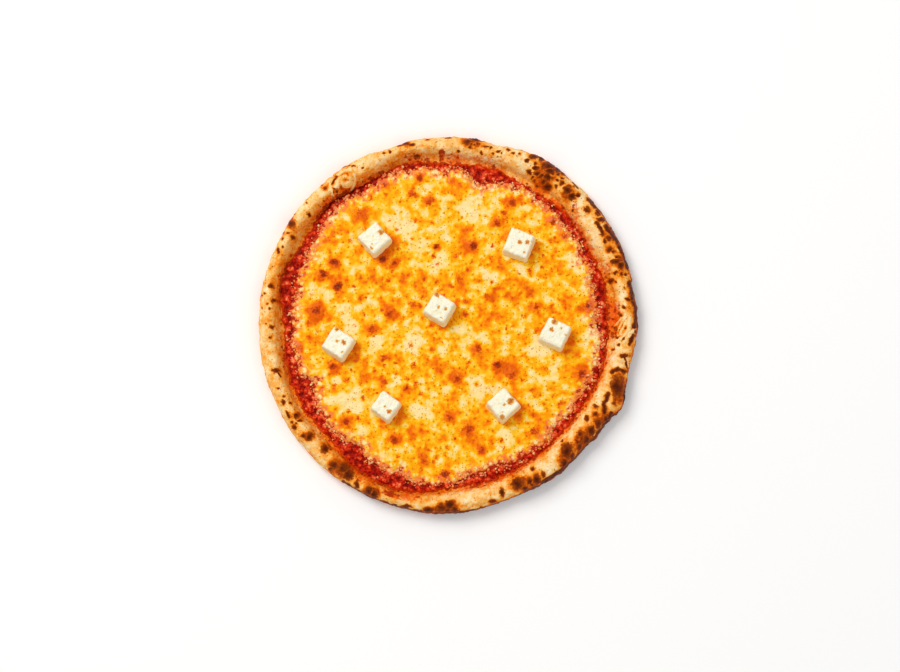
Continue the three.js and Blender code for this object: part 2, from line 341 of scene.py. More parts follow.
def spun(name: str, section: Array, sectors: int) -> tuple[bpy.types.Object, Array]:
    """Spins an upright section once round the middle.

    A circle is opened, laid along the section and spun through an eighth of a turn, and the eighth is copied
    round until it closes.

    Args:
        name: The new object's name.
        section: Rows of r and z in metres, from the axis round to the axis.
        sectors: How many steps a whole turn has, a multiple of 8.

    Returns:
        The object, and which row of the section each of its points comes from.
    """
    start_clean()
    count = len(section)
    bpy.ops.mesh.primitive_circle_add(vertices=count, radius=section[:, 0].max(), fill_type="NOTHING")
    piece = named(name)
    move_points(piece, np.column_stack([section[:, 0], np.zeros(count), section[:, 1]]))
    closing = [edge for edge in piece.data.edges if sorted(edge.vertices) == [0, count - 1]]
    for edge in piece.data.edges:
        edge.select = edge in closing
    for vertex in piece.data.vertices:
        vertex.select = False
    bpy.ops.object.mode_set(mode="EDIT")
    bpy.ops.mesh.select_mode(type="EDGE")
    bpy.ops.mesh.delete(type="EDGE")
    bpy.ops.mesh.select_mode(type="VERT")
    bpy.ops.mesh.select_all(action="SELECT")
    bpy.ops.mesh.spin(steps=sectors // 8, angle=TAU / 8, center=(0, 0, 0), axis=(0, 0, 1))
    for share in (8, 4, 2):
        bpy.ops.mesh.select_all(action="SELECT")
        bpy.ops.mesh.duplicate()
        bpy.ops.transform.rotate(value=TAU / share, orient_axis="Z", center_override=(0, 0, 0))
    bpy.ops.mesh.select_all(action="SELECT")
    bpy.ops.mesh.remove_doubles(threshold=0.001 * MM)
    bpy.ops.mesh.normals_make_consistent(inside=False)
    bpy.ops.object.mode_set(mode="OBJECT")
    points = points_of(piece)
    reach = np.hypot(points[:, 0], points[:, 1])
    away = (reach[:, None] - section[None, :, 0]) ** 2 + (points[:, 2, None] - section[None, :, 1]) ** 2
    return piece, np.argmin(away, axis=1)


def smooth(piece: bpy.types.Object) -> None:
    """Shades a mesh smoothly."""
    start_clean()
    bpy.context.view_layer.objects.active = piece
    piece.select_set(True)
    bpy.ops.object.shade_smooth()
    piece.select_set(False)


def hand_over(piece: bpy.types.Object, slot: str, *nodes: str) -> None:
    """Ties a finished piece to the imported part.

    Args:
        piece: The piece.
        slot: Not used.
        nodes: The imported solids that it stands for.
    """
    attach(piece, "root")
    if nodes:
        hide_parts(*nodes)
    LOG.info("%s: %d faces", piece.name, len(piece.data.polygons))


# ------------------------------------------------------------------------------------------ materials


@dataclass(frozen=True)
class Tint:
    """A colour as it looks on a screen, 0 to 255 each."""

    red: float
    green: float
    blue: float

    def linear(self) -> tuple[float, float, float, float]:
        """The same colour as a shader socket takes it."""
        shares = [c / 255 for c in (self.red, self.green, self.blue)]
        return (*[c / 12.92 if c <= 0.04045 else ((c + 0.055) / 1.055) ** 2.4 for c in shares], 1.0)


class Join(Enum):
    """How a Math node joins its two inputs."""

    TIMES = "MULTIPLY"
    HIGHER = "MAXIMUM"


Socket = bpy.types.NodeSocket


class Recipe:
    """A node material that is put together step by step on Object coordinates."""

    def __init__(self, name: str, steep: float = 1.0) -> None:
        """Starts a material.

        Args:
            name: Its name.
            steep: How fast its patterns change up a steep side, beside how fast they change on the flat.
        """
        self.material = bpy.data.materials.new(name)
        self.material.use_nodes = True
        self.tree = self.material.node_tree
        self.shader = self.tree.nodes["Principled BSDF"]
        scaled = self.tree.nodes.new("ShaderNodeVectorMath")
        scaled.operation = "MULTIPLY"
        self.tree.links.new(self.tree.nodes.new("ShaderNodeTexCoord").outputs["Object"], scaled.inputs[0])
        scaled.inputs[1].default_value = (1, 1, steep)
        self.place = scaled.outputs[0]

    def _plug(self, socket: Socket, value: "Socket | Tint | float") -> None:
        """Links or sets one input."""
        if isinstance(value, bpy.types.NodeSocket):
            self.tree.links.new(value, socket)
        else:
            socket.default_value = value.linear() if isinstance(value, Tint) else value

    def layer(self, name: str) -> Socket:
        """The value that paint() stored under a name."""
        node = self.tree.nodes.new("ShaderNodeAttribute")
        node.attribute_name = name
        return node.outputs["Fac"]

    def noise(self, size: float, detail: float = 3, bend: float = 0) -> Socket:
        """Cloudy noise.

        Args:
            size: The length of its waves in millimetres.
            detail: How many finer layers it has.
            bend: How much it is distorted.

        Returns:
            A value about 0.5.
        """
        node = self.tree.nodes.new("ShaderNodeTexNoise")
        node.inputs["Scale"].default_value = 1 / (size * MM)
        node.inputs["Detail"].default_value = detail
        node.inputs["Distortion"].default_value = bend
        self.tree.links.new(self.place, node.inputs["Vector"])
        return node.outputs["Fac"]

    def cells(self, size: float, flat: bool = False, wander: float = 0.0) -> tuple[Socket, Socket]:
        """Scattered points, one in each cell.

        Args:
            size: The size of a cell in millimetres.
            flat: Whether the cells are upright columns.
            wander: How far, in millimetres, the outlines round the points are pushed about.

        Returns:
            The distance to the nearest point in cells, and a random value of that point.
        """
        node = self.tree.nodes.new("ShaderNodeTexVoronoi")
        node.voronoi_dimensions = "2D" if flat else "3D"
        node.inputs["Scale"].default_value = 1 / (size * MM)
        self.tree.links.new(self._wandering(wander) if wander else self.place, node.inputs["Vector"])
        split = self.tree.nodes.new("ShaderNodeSeparateColor")
        self.tree.links.new(node.outputs["Color"], split.inputs[0])
        return node.outputs["Distance"], split.outputs[0]

    def _wandering(self, reach: float) -> Socket:
        """The recipe's places, pushed about by noise as far as reach in millimetres."""
        push = self.tree.nodes.new("ShaderNodeTexNoise")
        push.inputs["Scale"].default_value = 1 / (2.2 * reach * MM)
        self.tree.links.new(self.place, push.inputs["Vector"])
        centred = self.tree.nodes.new("ShaderNodeVectorMath")
        centred.operation = "SUBTRACT"
        self.tree.links.new(push.outputs["Color"], centred.inputs[0])
        centred.inputs[1].default_value = (0.5, 0.5, 0.5)
        moved = self.tree.nodes.new("ShaderNodeVectorMath")
        moved.operation = "MULTIPLY_ADD"
        self.tree.links.new(centred.outputs[0], moved.inputs[0])
        moved.inputs[1].default_value = (2 * reach * MM,) * 3
        self.tree.links.new(self.place, moved.inputs[2])
        return moved.outputs[0]

    def sum(self, first: "Socket | float", second: "Socket | float", times: float = 1.0) -> Socket:
        """first + second times a number."""
        node = self.tree.nodes.new("ShaderNodeMath")
        node.operation = "MULTIPLY_ADD"
        self._plug(node.inputs[0], second)
        node.inputs[1].default_value = times
        self._plug(node.inputs[2], first)
        return node.outputs[0]

    def stir(self, value: Socket, noise: Socket, amount: float) -> Socket:
        """A value moved up and down by noise that lies about 0.5."""
        return self.sum(value, self.sum(noise, -0.5), amount)

    def join(self, how: Join, first: Socket, second: Socket) -> Socket:
        """Joins two values.

        Args:
            how: Whether they are multiplied, or the higher one is taken.
            first: One value.
            second: The other.

        Returns:
            The joined value.
        """
        node = self.tree.nodes.new("ShaderNodeMath")
        node.operation = how.value
        self._plug(node.inputs[0], first)
        self._plug(node.inputs[1], second)
        return node.outputs[0]

    def rise(self, value: Socket, low: float, high: float, bottom: float = 0, top: float = 1) -> Socket:
        """A smooth rise or fall.

        Args:
            value: What is read.
            low: Where the rise starts.
            high: Where it ends.
            bottom: The result before it.
            top: The result after it.

        Returns:
            The risen value.
        """
        node = self.tree.nodes.new("ShaderNodeMapRange")
        node.interpolation_type = "SMOOTHSTEP"
        self.tree.links.new(value, node.inputs[0])
        for socket, number in zip(node.inputs[1:5], (low, high, bottom, top)):
            socket.default_value = number
        return node.outputs[0]

    def dots(
        self, cells: tuple[Socket, Socket], radius: tuple[float, float], odds: tuple[float, float]
    ) -> Socket:
        """Soft dots on some of the scattered points.

        Args:
            cells: The points, as cells() gives them.
            radius: How far from a point its dot starts to fade and where it ends, in cells.
            odds: The random value above which a dot begins to show, and the one from which it shows in full.

        Returns:
            1 in the dots and 0 between them.
        """
        distance, chance = cells
        return self.join(Join.TIMES, self.rise(distance, *radius, 1, 0), self.rise(chance, *odds))

    def ramp(self, value: Socket, stops: Stops) -> Socket:
        """A run of colours.

        Args:
            value: Where on the run each point is.
            stops: Places and colours, in order.

        Returns:
            The colour.
        """
        node = self.tree.nodes.new("ShaderNodeValToRGB")
        marks = node.color_ramp.elements
        while len(marks) < len(stops):
            marks.new(0.5)
        for mark, (place, tint) in zip(marks, stops):
            mark.position = place
            mark.color = tint.linear()
        self.tree.links.new(value, node.inputs[0])
        return node.outputs[0]

    def lay(self, under: Socket, over: "Socket | Tint", share: "Socket | float") -> Socket:
        """Lays one colour over another.

        Args:
            under: The colour below.
            over: The colour on top.
            share: How much of it covers.

        Returns:
            The mixed colour.
        """
        node = self.tree.nodes.new("ShaderNodeMix")
        node.data_type = "RGBA"
        self._plug(node.inputs["Factor"], share)
        self.tree.links.new(under, node.inputs[6])
        self._plug(node.inputs[7], over)
        return node.outputs[2]

    def bump(self, *reliefs: tuple[Socket, float]) -> None:
        """Adds fine relief.

        Args:
            reliefs: Heights from 0 to 1, each with the height in millimetres that 1 stands for.
        """
        normal = None
        for height, depth in reliefs:
            node = self.tree.nodes.new("ShaderNodeBump")
            node.inputs["Distance"].default_value = depth * MM
            self.tree.links.new(height, node.inputs["Height"])
            if normal:
                self.tree.links.new(normal, node.inputs["Normal"])
            normal = node.outputs[0]
        self.tree.links.new(normal, self.shader.inputs["Normal"])

    def soak(self, weight: float, radius: tuple[float, float, float]) -> None:
        """Lets light into the surface.

        Args:
            weight: How much of the light goes in.
            radius: How far red, green and blue light spread, in millimetres.
        """
        self.shader.inputs["Subsurface Weight"].default_value = weight
        self.shader.inputs["Subsurface Radius"].default_value = [length * MM for length in radius]
        self.shader.inputs["Subsurface Scale"].default_value = 1.0

    def gleam(self, level: float, tint: Tint) -> None:
        """Sets how the surface mirrors its surroundings.

        Args:
            level: How strongly, where 0.5 is a usual plastic.
            tint: The colour of the oil in its highlights.
        """
        self.shader.inputs["Specular IOR Level"].default_value = level
        self.shader.inputs["Specular Tint"].default_value = tint.linear()

    def finish(self, colour: "Socket | Tint", roughness: "Socket | float") -> bpy.types.Material:
        """Plugs the colour and roughness in.

        Args:
            colour: The colour.
            roughness: The roughness.

        Returns:
            The material.
        """
        self._plug(self.shader.inputs["Base Color"], colour)
        self._plug(self.shader.inputs["Roughness"], roughness)
        return self.material


@dataclass(frozen=True)
class BakedDough:
    """Baked dough, from pale flour through gold to charred, with the orange stain of the sauce."""

    baked: Stops = (
        (0.00, Tint(252, 228, 184)),
        (0.14, Tint(249, 208, 142)),
        (0.28, Tint(246, 180, 88)),
        (0.42, Tint(242, 146, 34)),
        (0.54, Tint(222, 106, 8)),
        (0.66, Tint(182, 70, 4)),
        (0.78, Tint(130, 44, 3)),
        (0.90, Tint(84, 24, 2)),
        (1.00, Tint(48, 13, 2)),
    )
    charred: Stops = (
        (0.34, Tint(204, 104, 14)),
        (0.44, Tint(160, 72, 8)),
        (0.60, Tint(126, 46, 4)),
        (0.78, Tint(92, 28, 3)),
        (1.00, Tint(54, 14, 2)),
    )
    stain: Tint = Tint(236, 84, 6)
    splash: Tint = Tint(150, 26, 2)
    freckle: Tint = Tint(166, 90, 26)
    oil: Tint = Tint(255, 214, 160)

    def material(self) -> bpy.types.Material:
        """Builds the material."""
        recipe = Recipe("baked_dough", 0.5)
        cloud, grain, speck = recipe.noise(5, 3, 0.4), recipe.noise(1.5, 3), recipe.noise(0.45, 2)
        bake = recipe.stir(recipe.stir(recipe.layer("bake"), cloud, 0.34), grain, 0.34)
        pins = recipe.dots(recipe.cells(1.9, wander=0.5), (0.12, 0.3), (0.55, 0.8))
        spots = recipe.dots(recipe.cells(4.2, wander=1.0), (0.08, 0.28), (0.5, 0.9))
        bake = recipe.stir(recipe.sum(recipe.sum(bake, pins, 0.3), spots, 0.24), speck, 0.18)
        leopard = recipe.rise(recipe.noise(11, 3, 0.6), 0.52, 0.7)
        bake = recipe.sum(bake, recipe.join(Join.TIMES, leopard, recipe.layer("under")), 0.5)
        colour = recipe.ramp(bake, self.baked)
        stained = recipe.stir(recipe.stir(recipe.layer("stain"), grain, 1.2), cloud, 1.0)
        colour = recipe.lay(colour, self.stain, recipe.rise(stained, 0.15, 0.85, 0, 0.85))
        thrown, fate = recipe.cells(2.6, wander=0.9)
        drop = recipe.sum(recipe.stir(recipe.layer("stain"), fate, 0.8), thrown, -0.9)
        colour = recipe.lay(colour, self.splash, recipe.rise(drop, 0.25, 0.55, 0, 0.8))
        freckles = recipe.dots(recipe.cells(3.0, wander=0.6), (0.1, 0.25), (0.35, 0.65))
        colour = recipe.lay(colour, self.freckle, recipe.sum(0.0, freckles, 0.8))
        char = recipe.stir(recipe.stir(recipe.layer("char"), grain, 0.4), speck, 0.16)
        colour = recipe.lay(colour, recipe.ramp(char, self.charred), recipe.rise(char, 0.32, 0.48))
        recipe.bump((recipe.noise(2.2, 5), 0.8), (speck, 0.14))
        recipe.soak(0.1, (2.0, 0.9, 0.4))
        recipe.gleam(0.14, self.oil)
        return recipe.finish(colour, recipe.rise(char, 0.4, 0.8, 0.72, 0.5))


@dataclass(frozen=True)
class TomatoSauce:
    """Wet cooked tomato: deep red pulp, thinning to orange-red where it climbs the dough."""

    pulp: Stops = (
        (0.12, Tint(108, 0, 0)),
        (0.36, Tint(158, 10, 4)),
        (0.58, Tint(206, 42, 12)),
        (0.78, Tint(234, 92, 44)),
        (1.00, Tint(248, 154, 108)),
    )
    thin: Tint = Tint(196, 66, 2)
    oil: Tint = Tint(255, 176, 128)

    def material(self) -> bpy.types.Material:
        """Builds the material."""
        recipe = Recipe("tomato_sauce")
        grain = recipe.noise(1.4, 3)
        pulp = recipe.stir(recipe.stir(recipe.layer("pulp"), grain, 0.95), recipe.noise(5, 2), 0.9)
        colour = recipe.ramp(pulp, self.pulp)
        edge = recipe.stir(recipe.layer("thin"), grain, 1.1)
        colour = recipe.lay(colour, self.thin, recipe.rise(edge, 0.3, 0.9, 0, 0.75))
        recipe.bump((recipe.noise(1.9, 3), 0.5), (recipe.noise(0.6, 2), 0.1))
        recipe.soak(0.1, (1.6, 0.5, 0.2))
        recipe.gleam(0.2, self.oil)
        return recipe.finish(colour, recipe.rise(grain, 0.35, 0.65, 0.2, 0.45))


@dataclass(frozen=True)
class MeltedCheese:
    """White and orange cheese melted into each other, with toasted blisters and brown pinpricks."""

    melt: Stops = (
        (0.22, Tint(250, 222, 156)),
        (0.36, Tint(251, 209, 112)),
        (0.45, Tint(251, 196, 44)),
        (0.55, Tint(252, 178, 6)),
        (0.66, Tint(252, 156, 2)),
        (0.80, Tint(246, 124, 0)),
        (1.00, Tint(226, 90, 0)),
    )
    burn: Stops = (
        (0.22, Tint(246, 132, 6)),
        (0.38, Tint(230, 96, 6)),
        (0.54, Tint(200, 66, 6)),
        (0.70, Tint(164, 46, 6)),
        (0.95, Tint(108, 26, 4)),
    )
    speck: Tint = Tint(164, 82, 4)
    sauce: Tint = Tint(170, 20, 0)
    salmon: Tint = Tint(244, 126, 76)
    oil: Tint = Tint(255, 220, 150)

    def material(self) -> bpy.types.Material:
        """Builds the material."""
        recipe = Recipe("toasted_cheese")
        mottle, grain, fine = recipe.noise(3.6, 3, 0.5), recipe.noise(1.3, 3), recipe.noise(0.6, 2)
        wide, close = recipe.cells(5.2, flat=True, wander=0.7), recipe.cells(2.9, flat=True, wander=0.5)
        halos = recipe.dots(wide, (0.08, 0.4), (0.35, 0.7))
        melt = recipe.stir(recipe.layer("cheddar"), mottle, 0.54)
        melt = recipe.stir(recipe.sum(melt, halos, 0.14), grain, 0.2)
        colour = recipe.ramp(melt, self.melt)
        toast = recipe.stir(recipe.sum(0.0, recipe.layer("toast"), 0.8), grain, 0.9)
        toast = recipe.stir(toast, fine, 0.4)
        colour = recipe.lay(colour, recipe.ramp(toast, self.burn), recipe.rise(toast, 0.18, 0.44))
        pins = recipe.dots(wide, (0.04, 0.13), (0.3, 0.6))
        pricks = recipe.dots(close, (0.06, 0.19), (0.45, 0.85))
        clear = recipe.rise(recipe.layer("sauce"), 0, 0.3, 0.8, 0)
        pinpricks = recipe.join(Join.TIMES, recipe.join(Join.HIGHER, pins, pricks), clear)
        colour = recipe.lay(colour, self.speck, pinpricks)
        bare = recipe.stir(recipe.layer("sauce"), grain, 0.9)
        colour = recipe.lay(colour, self.salmon, recipe.rise(bare, 0.1, 0.5, 0, 0.8))
        colour = recipe.lay(colour, self.sauce, recipe.rise(bare, 0.5, 0.74, 0, 0.92))
        recipe.bump((recipe.noise(2.2, 4), 0.75), (fine, 0.12))
        recipe.soak(0.12, (2.4, 1.2, 0.4))
        recipe.gleam(0.2, self.oil)
        return recipe.finish(colour, recipe.rise(grain, 0.3, 0.7, 0.24, 0.45))


@dataclass(frozen=True)
class BrinedCheese:
    """Crumbly white cheese with a few toasted dots, and sides painted creamier and a little darker than the
    top: partly the cheese's tint, partly painted shade.
    """

    curd: Stops = (
        (0.05, Tint(247, 243, 222)),
        (0.45, Tint(247, 236, 196)),
        (1.00, Tint(255, 230, 168)),
    )
    burn: Stops = (
        (0.16, Tint(244, 212, 120)),
        (0.36, Tint(226, 164, 40)),
        (0.62, Tint(206, 112, 14)),
        (0.90, Tint(160, 62, 2)),
    )
    oil: Tint = Tint(255, 244, 220)

    def material(self) -> bpy.types.Material:
        """Builds the material."""
        recipe = Recipe("brined_cheese")
        cloud, grain = recipe.noise(3.0, 3), recipe.noise(1.1, 3)
        colour = recipe.ramp(recipe.stir(recipe.layer("side"), cloud, 1.0), self.curd)
        toast = recipe.stir(recipe.stir(recipe.layer("toast"), grain, 0.8), cloud, 0.4)
        colour = recipe.lay(colour, recipe.ramp(toast, self.burn), recipe.rise(toast, 0.18, 0.42, 0, 0.95))
        distance, _ = recipe.cells(2.3, wander=0.7)
        recipe.bump((recipe.rise(distance, 0.1, 0.55), 0.25), (recipe.noise(1.6, 4), 0.5))
        recipe.soak(0.2, (2.6, 2.0, 1.4))
        recipe.gleam(0.2, self.oil)
        return recipe.finish(colour, 0.5)


# ---------------------------------------------------------------------------------------------- spots


@dataclass(frozen=True)
class Spot:
    """A blister or toasted place in mm: where it is, its radius along x, and along y if that differs."""

    x: float
    y: float
    radius: float
    tall: float = 0.0

    def strength(self, points: Array) -> Array:
        """How strongly the spot reaches each point in plan.

        Args:
            points: Rows of x, y and z in metres.

        Returns:
            1 in its middle, a half at its edge and 0 at twice its radius.
        """
        away = (points[:, :2] / MM - (self.x, self.y)) / (self.radius, self.tall or self.radius)
        return np.clip(1 - np.hypot(away[:, 0], away[:, 1]) / 2, 0, 1)


def tempered(heat: float) -> float:
    """How strongly a charred mark shows beside the hottest, which has heat 1."""
    return 0.8 + 0.2 * heat


class Strongest:
    """The strongest and the second strongest of many marks at every point."""

    def __init__(self, count: int) -> None:
        """Starts with no mark.

        Args:
            count: How many points there are.
        """
        self.first, self.second = np.zeros(count), np.zeros(count)

    def add(self, strength: Array, where: "Array | slice" = slice(None)) -> None:
        """Adds one mark.

        Args:
            strength: How strongly it reaches the points.
            where: The numbers of those points, or all of them.
        """
        self.second[where] = np.maximum(self.second[where], np.minimum(self.first[where], strength))
        self.first[where] = np.maximum(self.first[where], strength)


# ---------------------------------------------------------------------------------------------- dough


@dataclass(frozen=True)
class Arc:
    """A dark streak along the rim: from and to in degrees, and its ends' distance from the middle, in mm."""

    start: float
    stop: float
    reach: float
    last_reach: float
    half_width: float
    heat: float = 1.0

    def strength(self, angle: Array, reach: Array) -> Array:
        """How strongly the streak reaches each point.

        Args:
            angle: Angles in radians.
            reach: Distances from the middle in metres.

        Returns:
            1 on its middle line, a half at its edge and 0 at twice its half width.
        """
        past = (np.degrees(angle) - self.start + 180) % 360 - 180
        share = np.clip(past / (self.stop - self.start), 0, 1)
        over = (past - share * (self.stop - self.start)) * math.radians(1) * self.reach
        out = reach / MM - (self.reach + share * (self.last_reach - self.reach))
        return np.clip(1 - np.hypot(over, out) / (2 * self.half_width), 0, 1)


@dataclass(frozen=True)
class Line:
    """A fold or a scorched line: the places in mm that it runs through, its level and its half width.

    The level is a fold's height in mm, or how dark a scorched line is, from 0 to 1.
    """

    places: tuple[tuple[float, float], ...]
    level: float
    half_width: float

    def strength(self, points: Array) -> Array:
        """How strongly the line reaches each point: 1 on it and 0 beyond twice its half width."""
        line = np.array(self.places) * MM
        nearest = np.full(len(points), 1.0)
        for start, stop in zip(line[:-1], line[1:]):
            along = stop - start
            share = np.clip((points[:, :2] - start) @ along / (along @ along), 0, 1)
            nearest = np.minimum(nearest, np.hypot(*(points[:, :2] - start - share[:, None] * along).T))
        return np.clip(1 - nearest / (2 * self.half_width * MM), 0, 1)


@dataclass(frozen=True)
class Marks:
    """What stands on the dough, from 0 to 1 at every point.

    These are the char, how far a point is from the crease between two charred marks, the folds, the wrinkles
    and the browned pimples.
    """

    char: Array
    crease: Array
    fold: Array
    wrinkle: Array
    pimple: Array


@dataclass(frozen=True)
class BakeLevels:
    """How strongly the dough is baked, from 0, floury, to 1, black, and what adds to it."""

    skin: float = 0.16
    fold: float = 0.06
    underside: float = 0.2
    cloud: float = 0.13
    ripple: float = 0.1
    wrinkle: float = 0.14
    pimple: float = 0.26
    round_char: float = 0.2
    slope: float = 0.16
    side: float = 0.13
    # scorch and painted shade on the outer side at the lower right
    scorched_and_shaded_side: float = 0.5


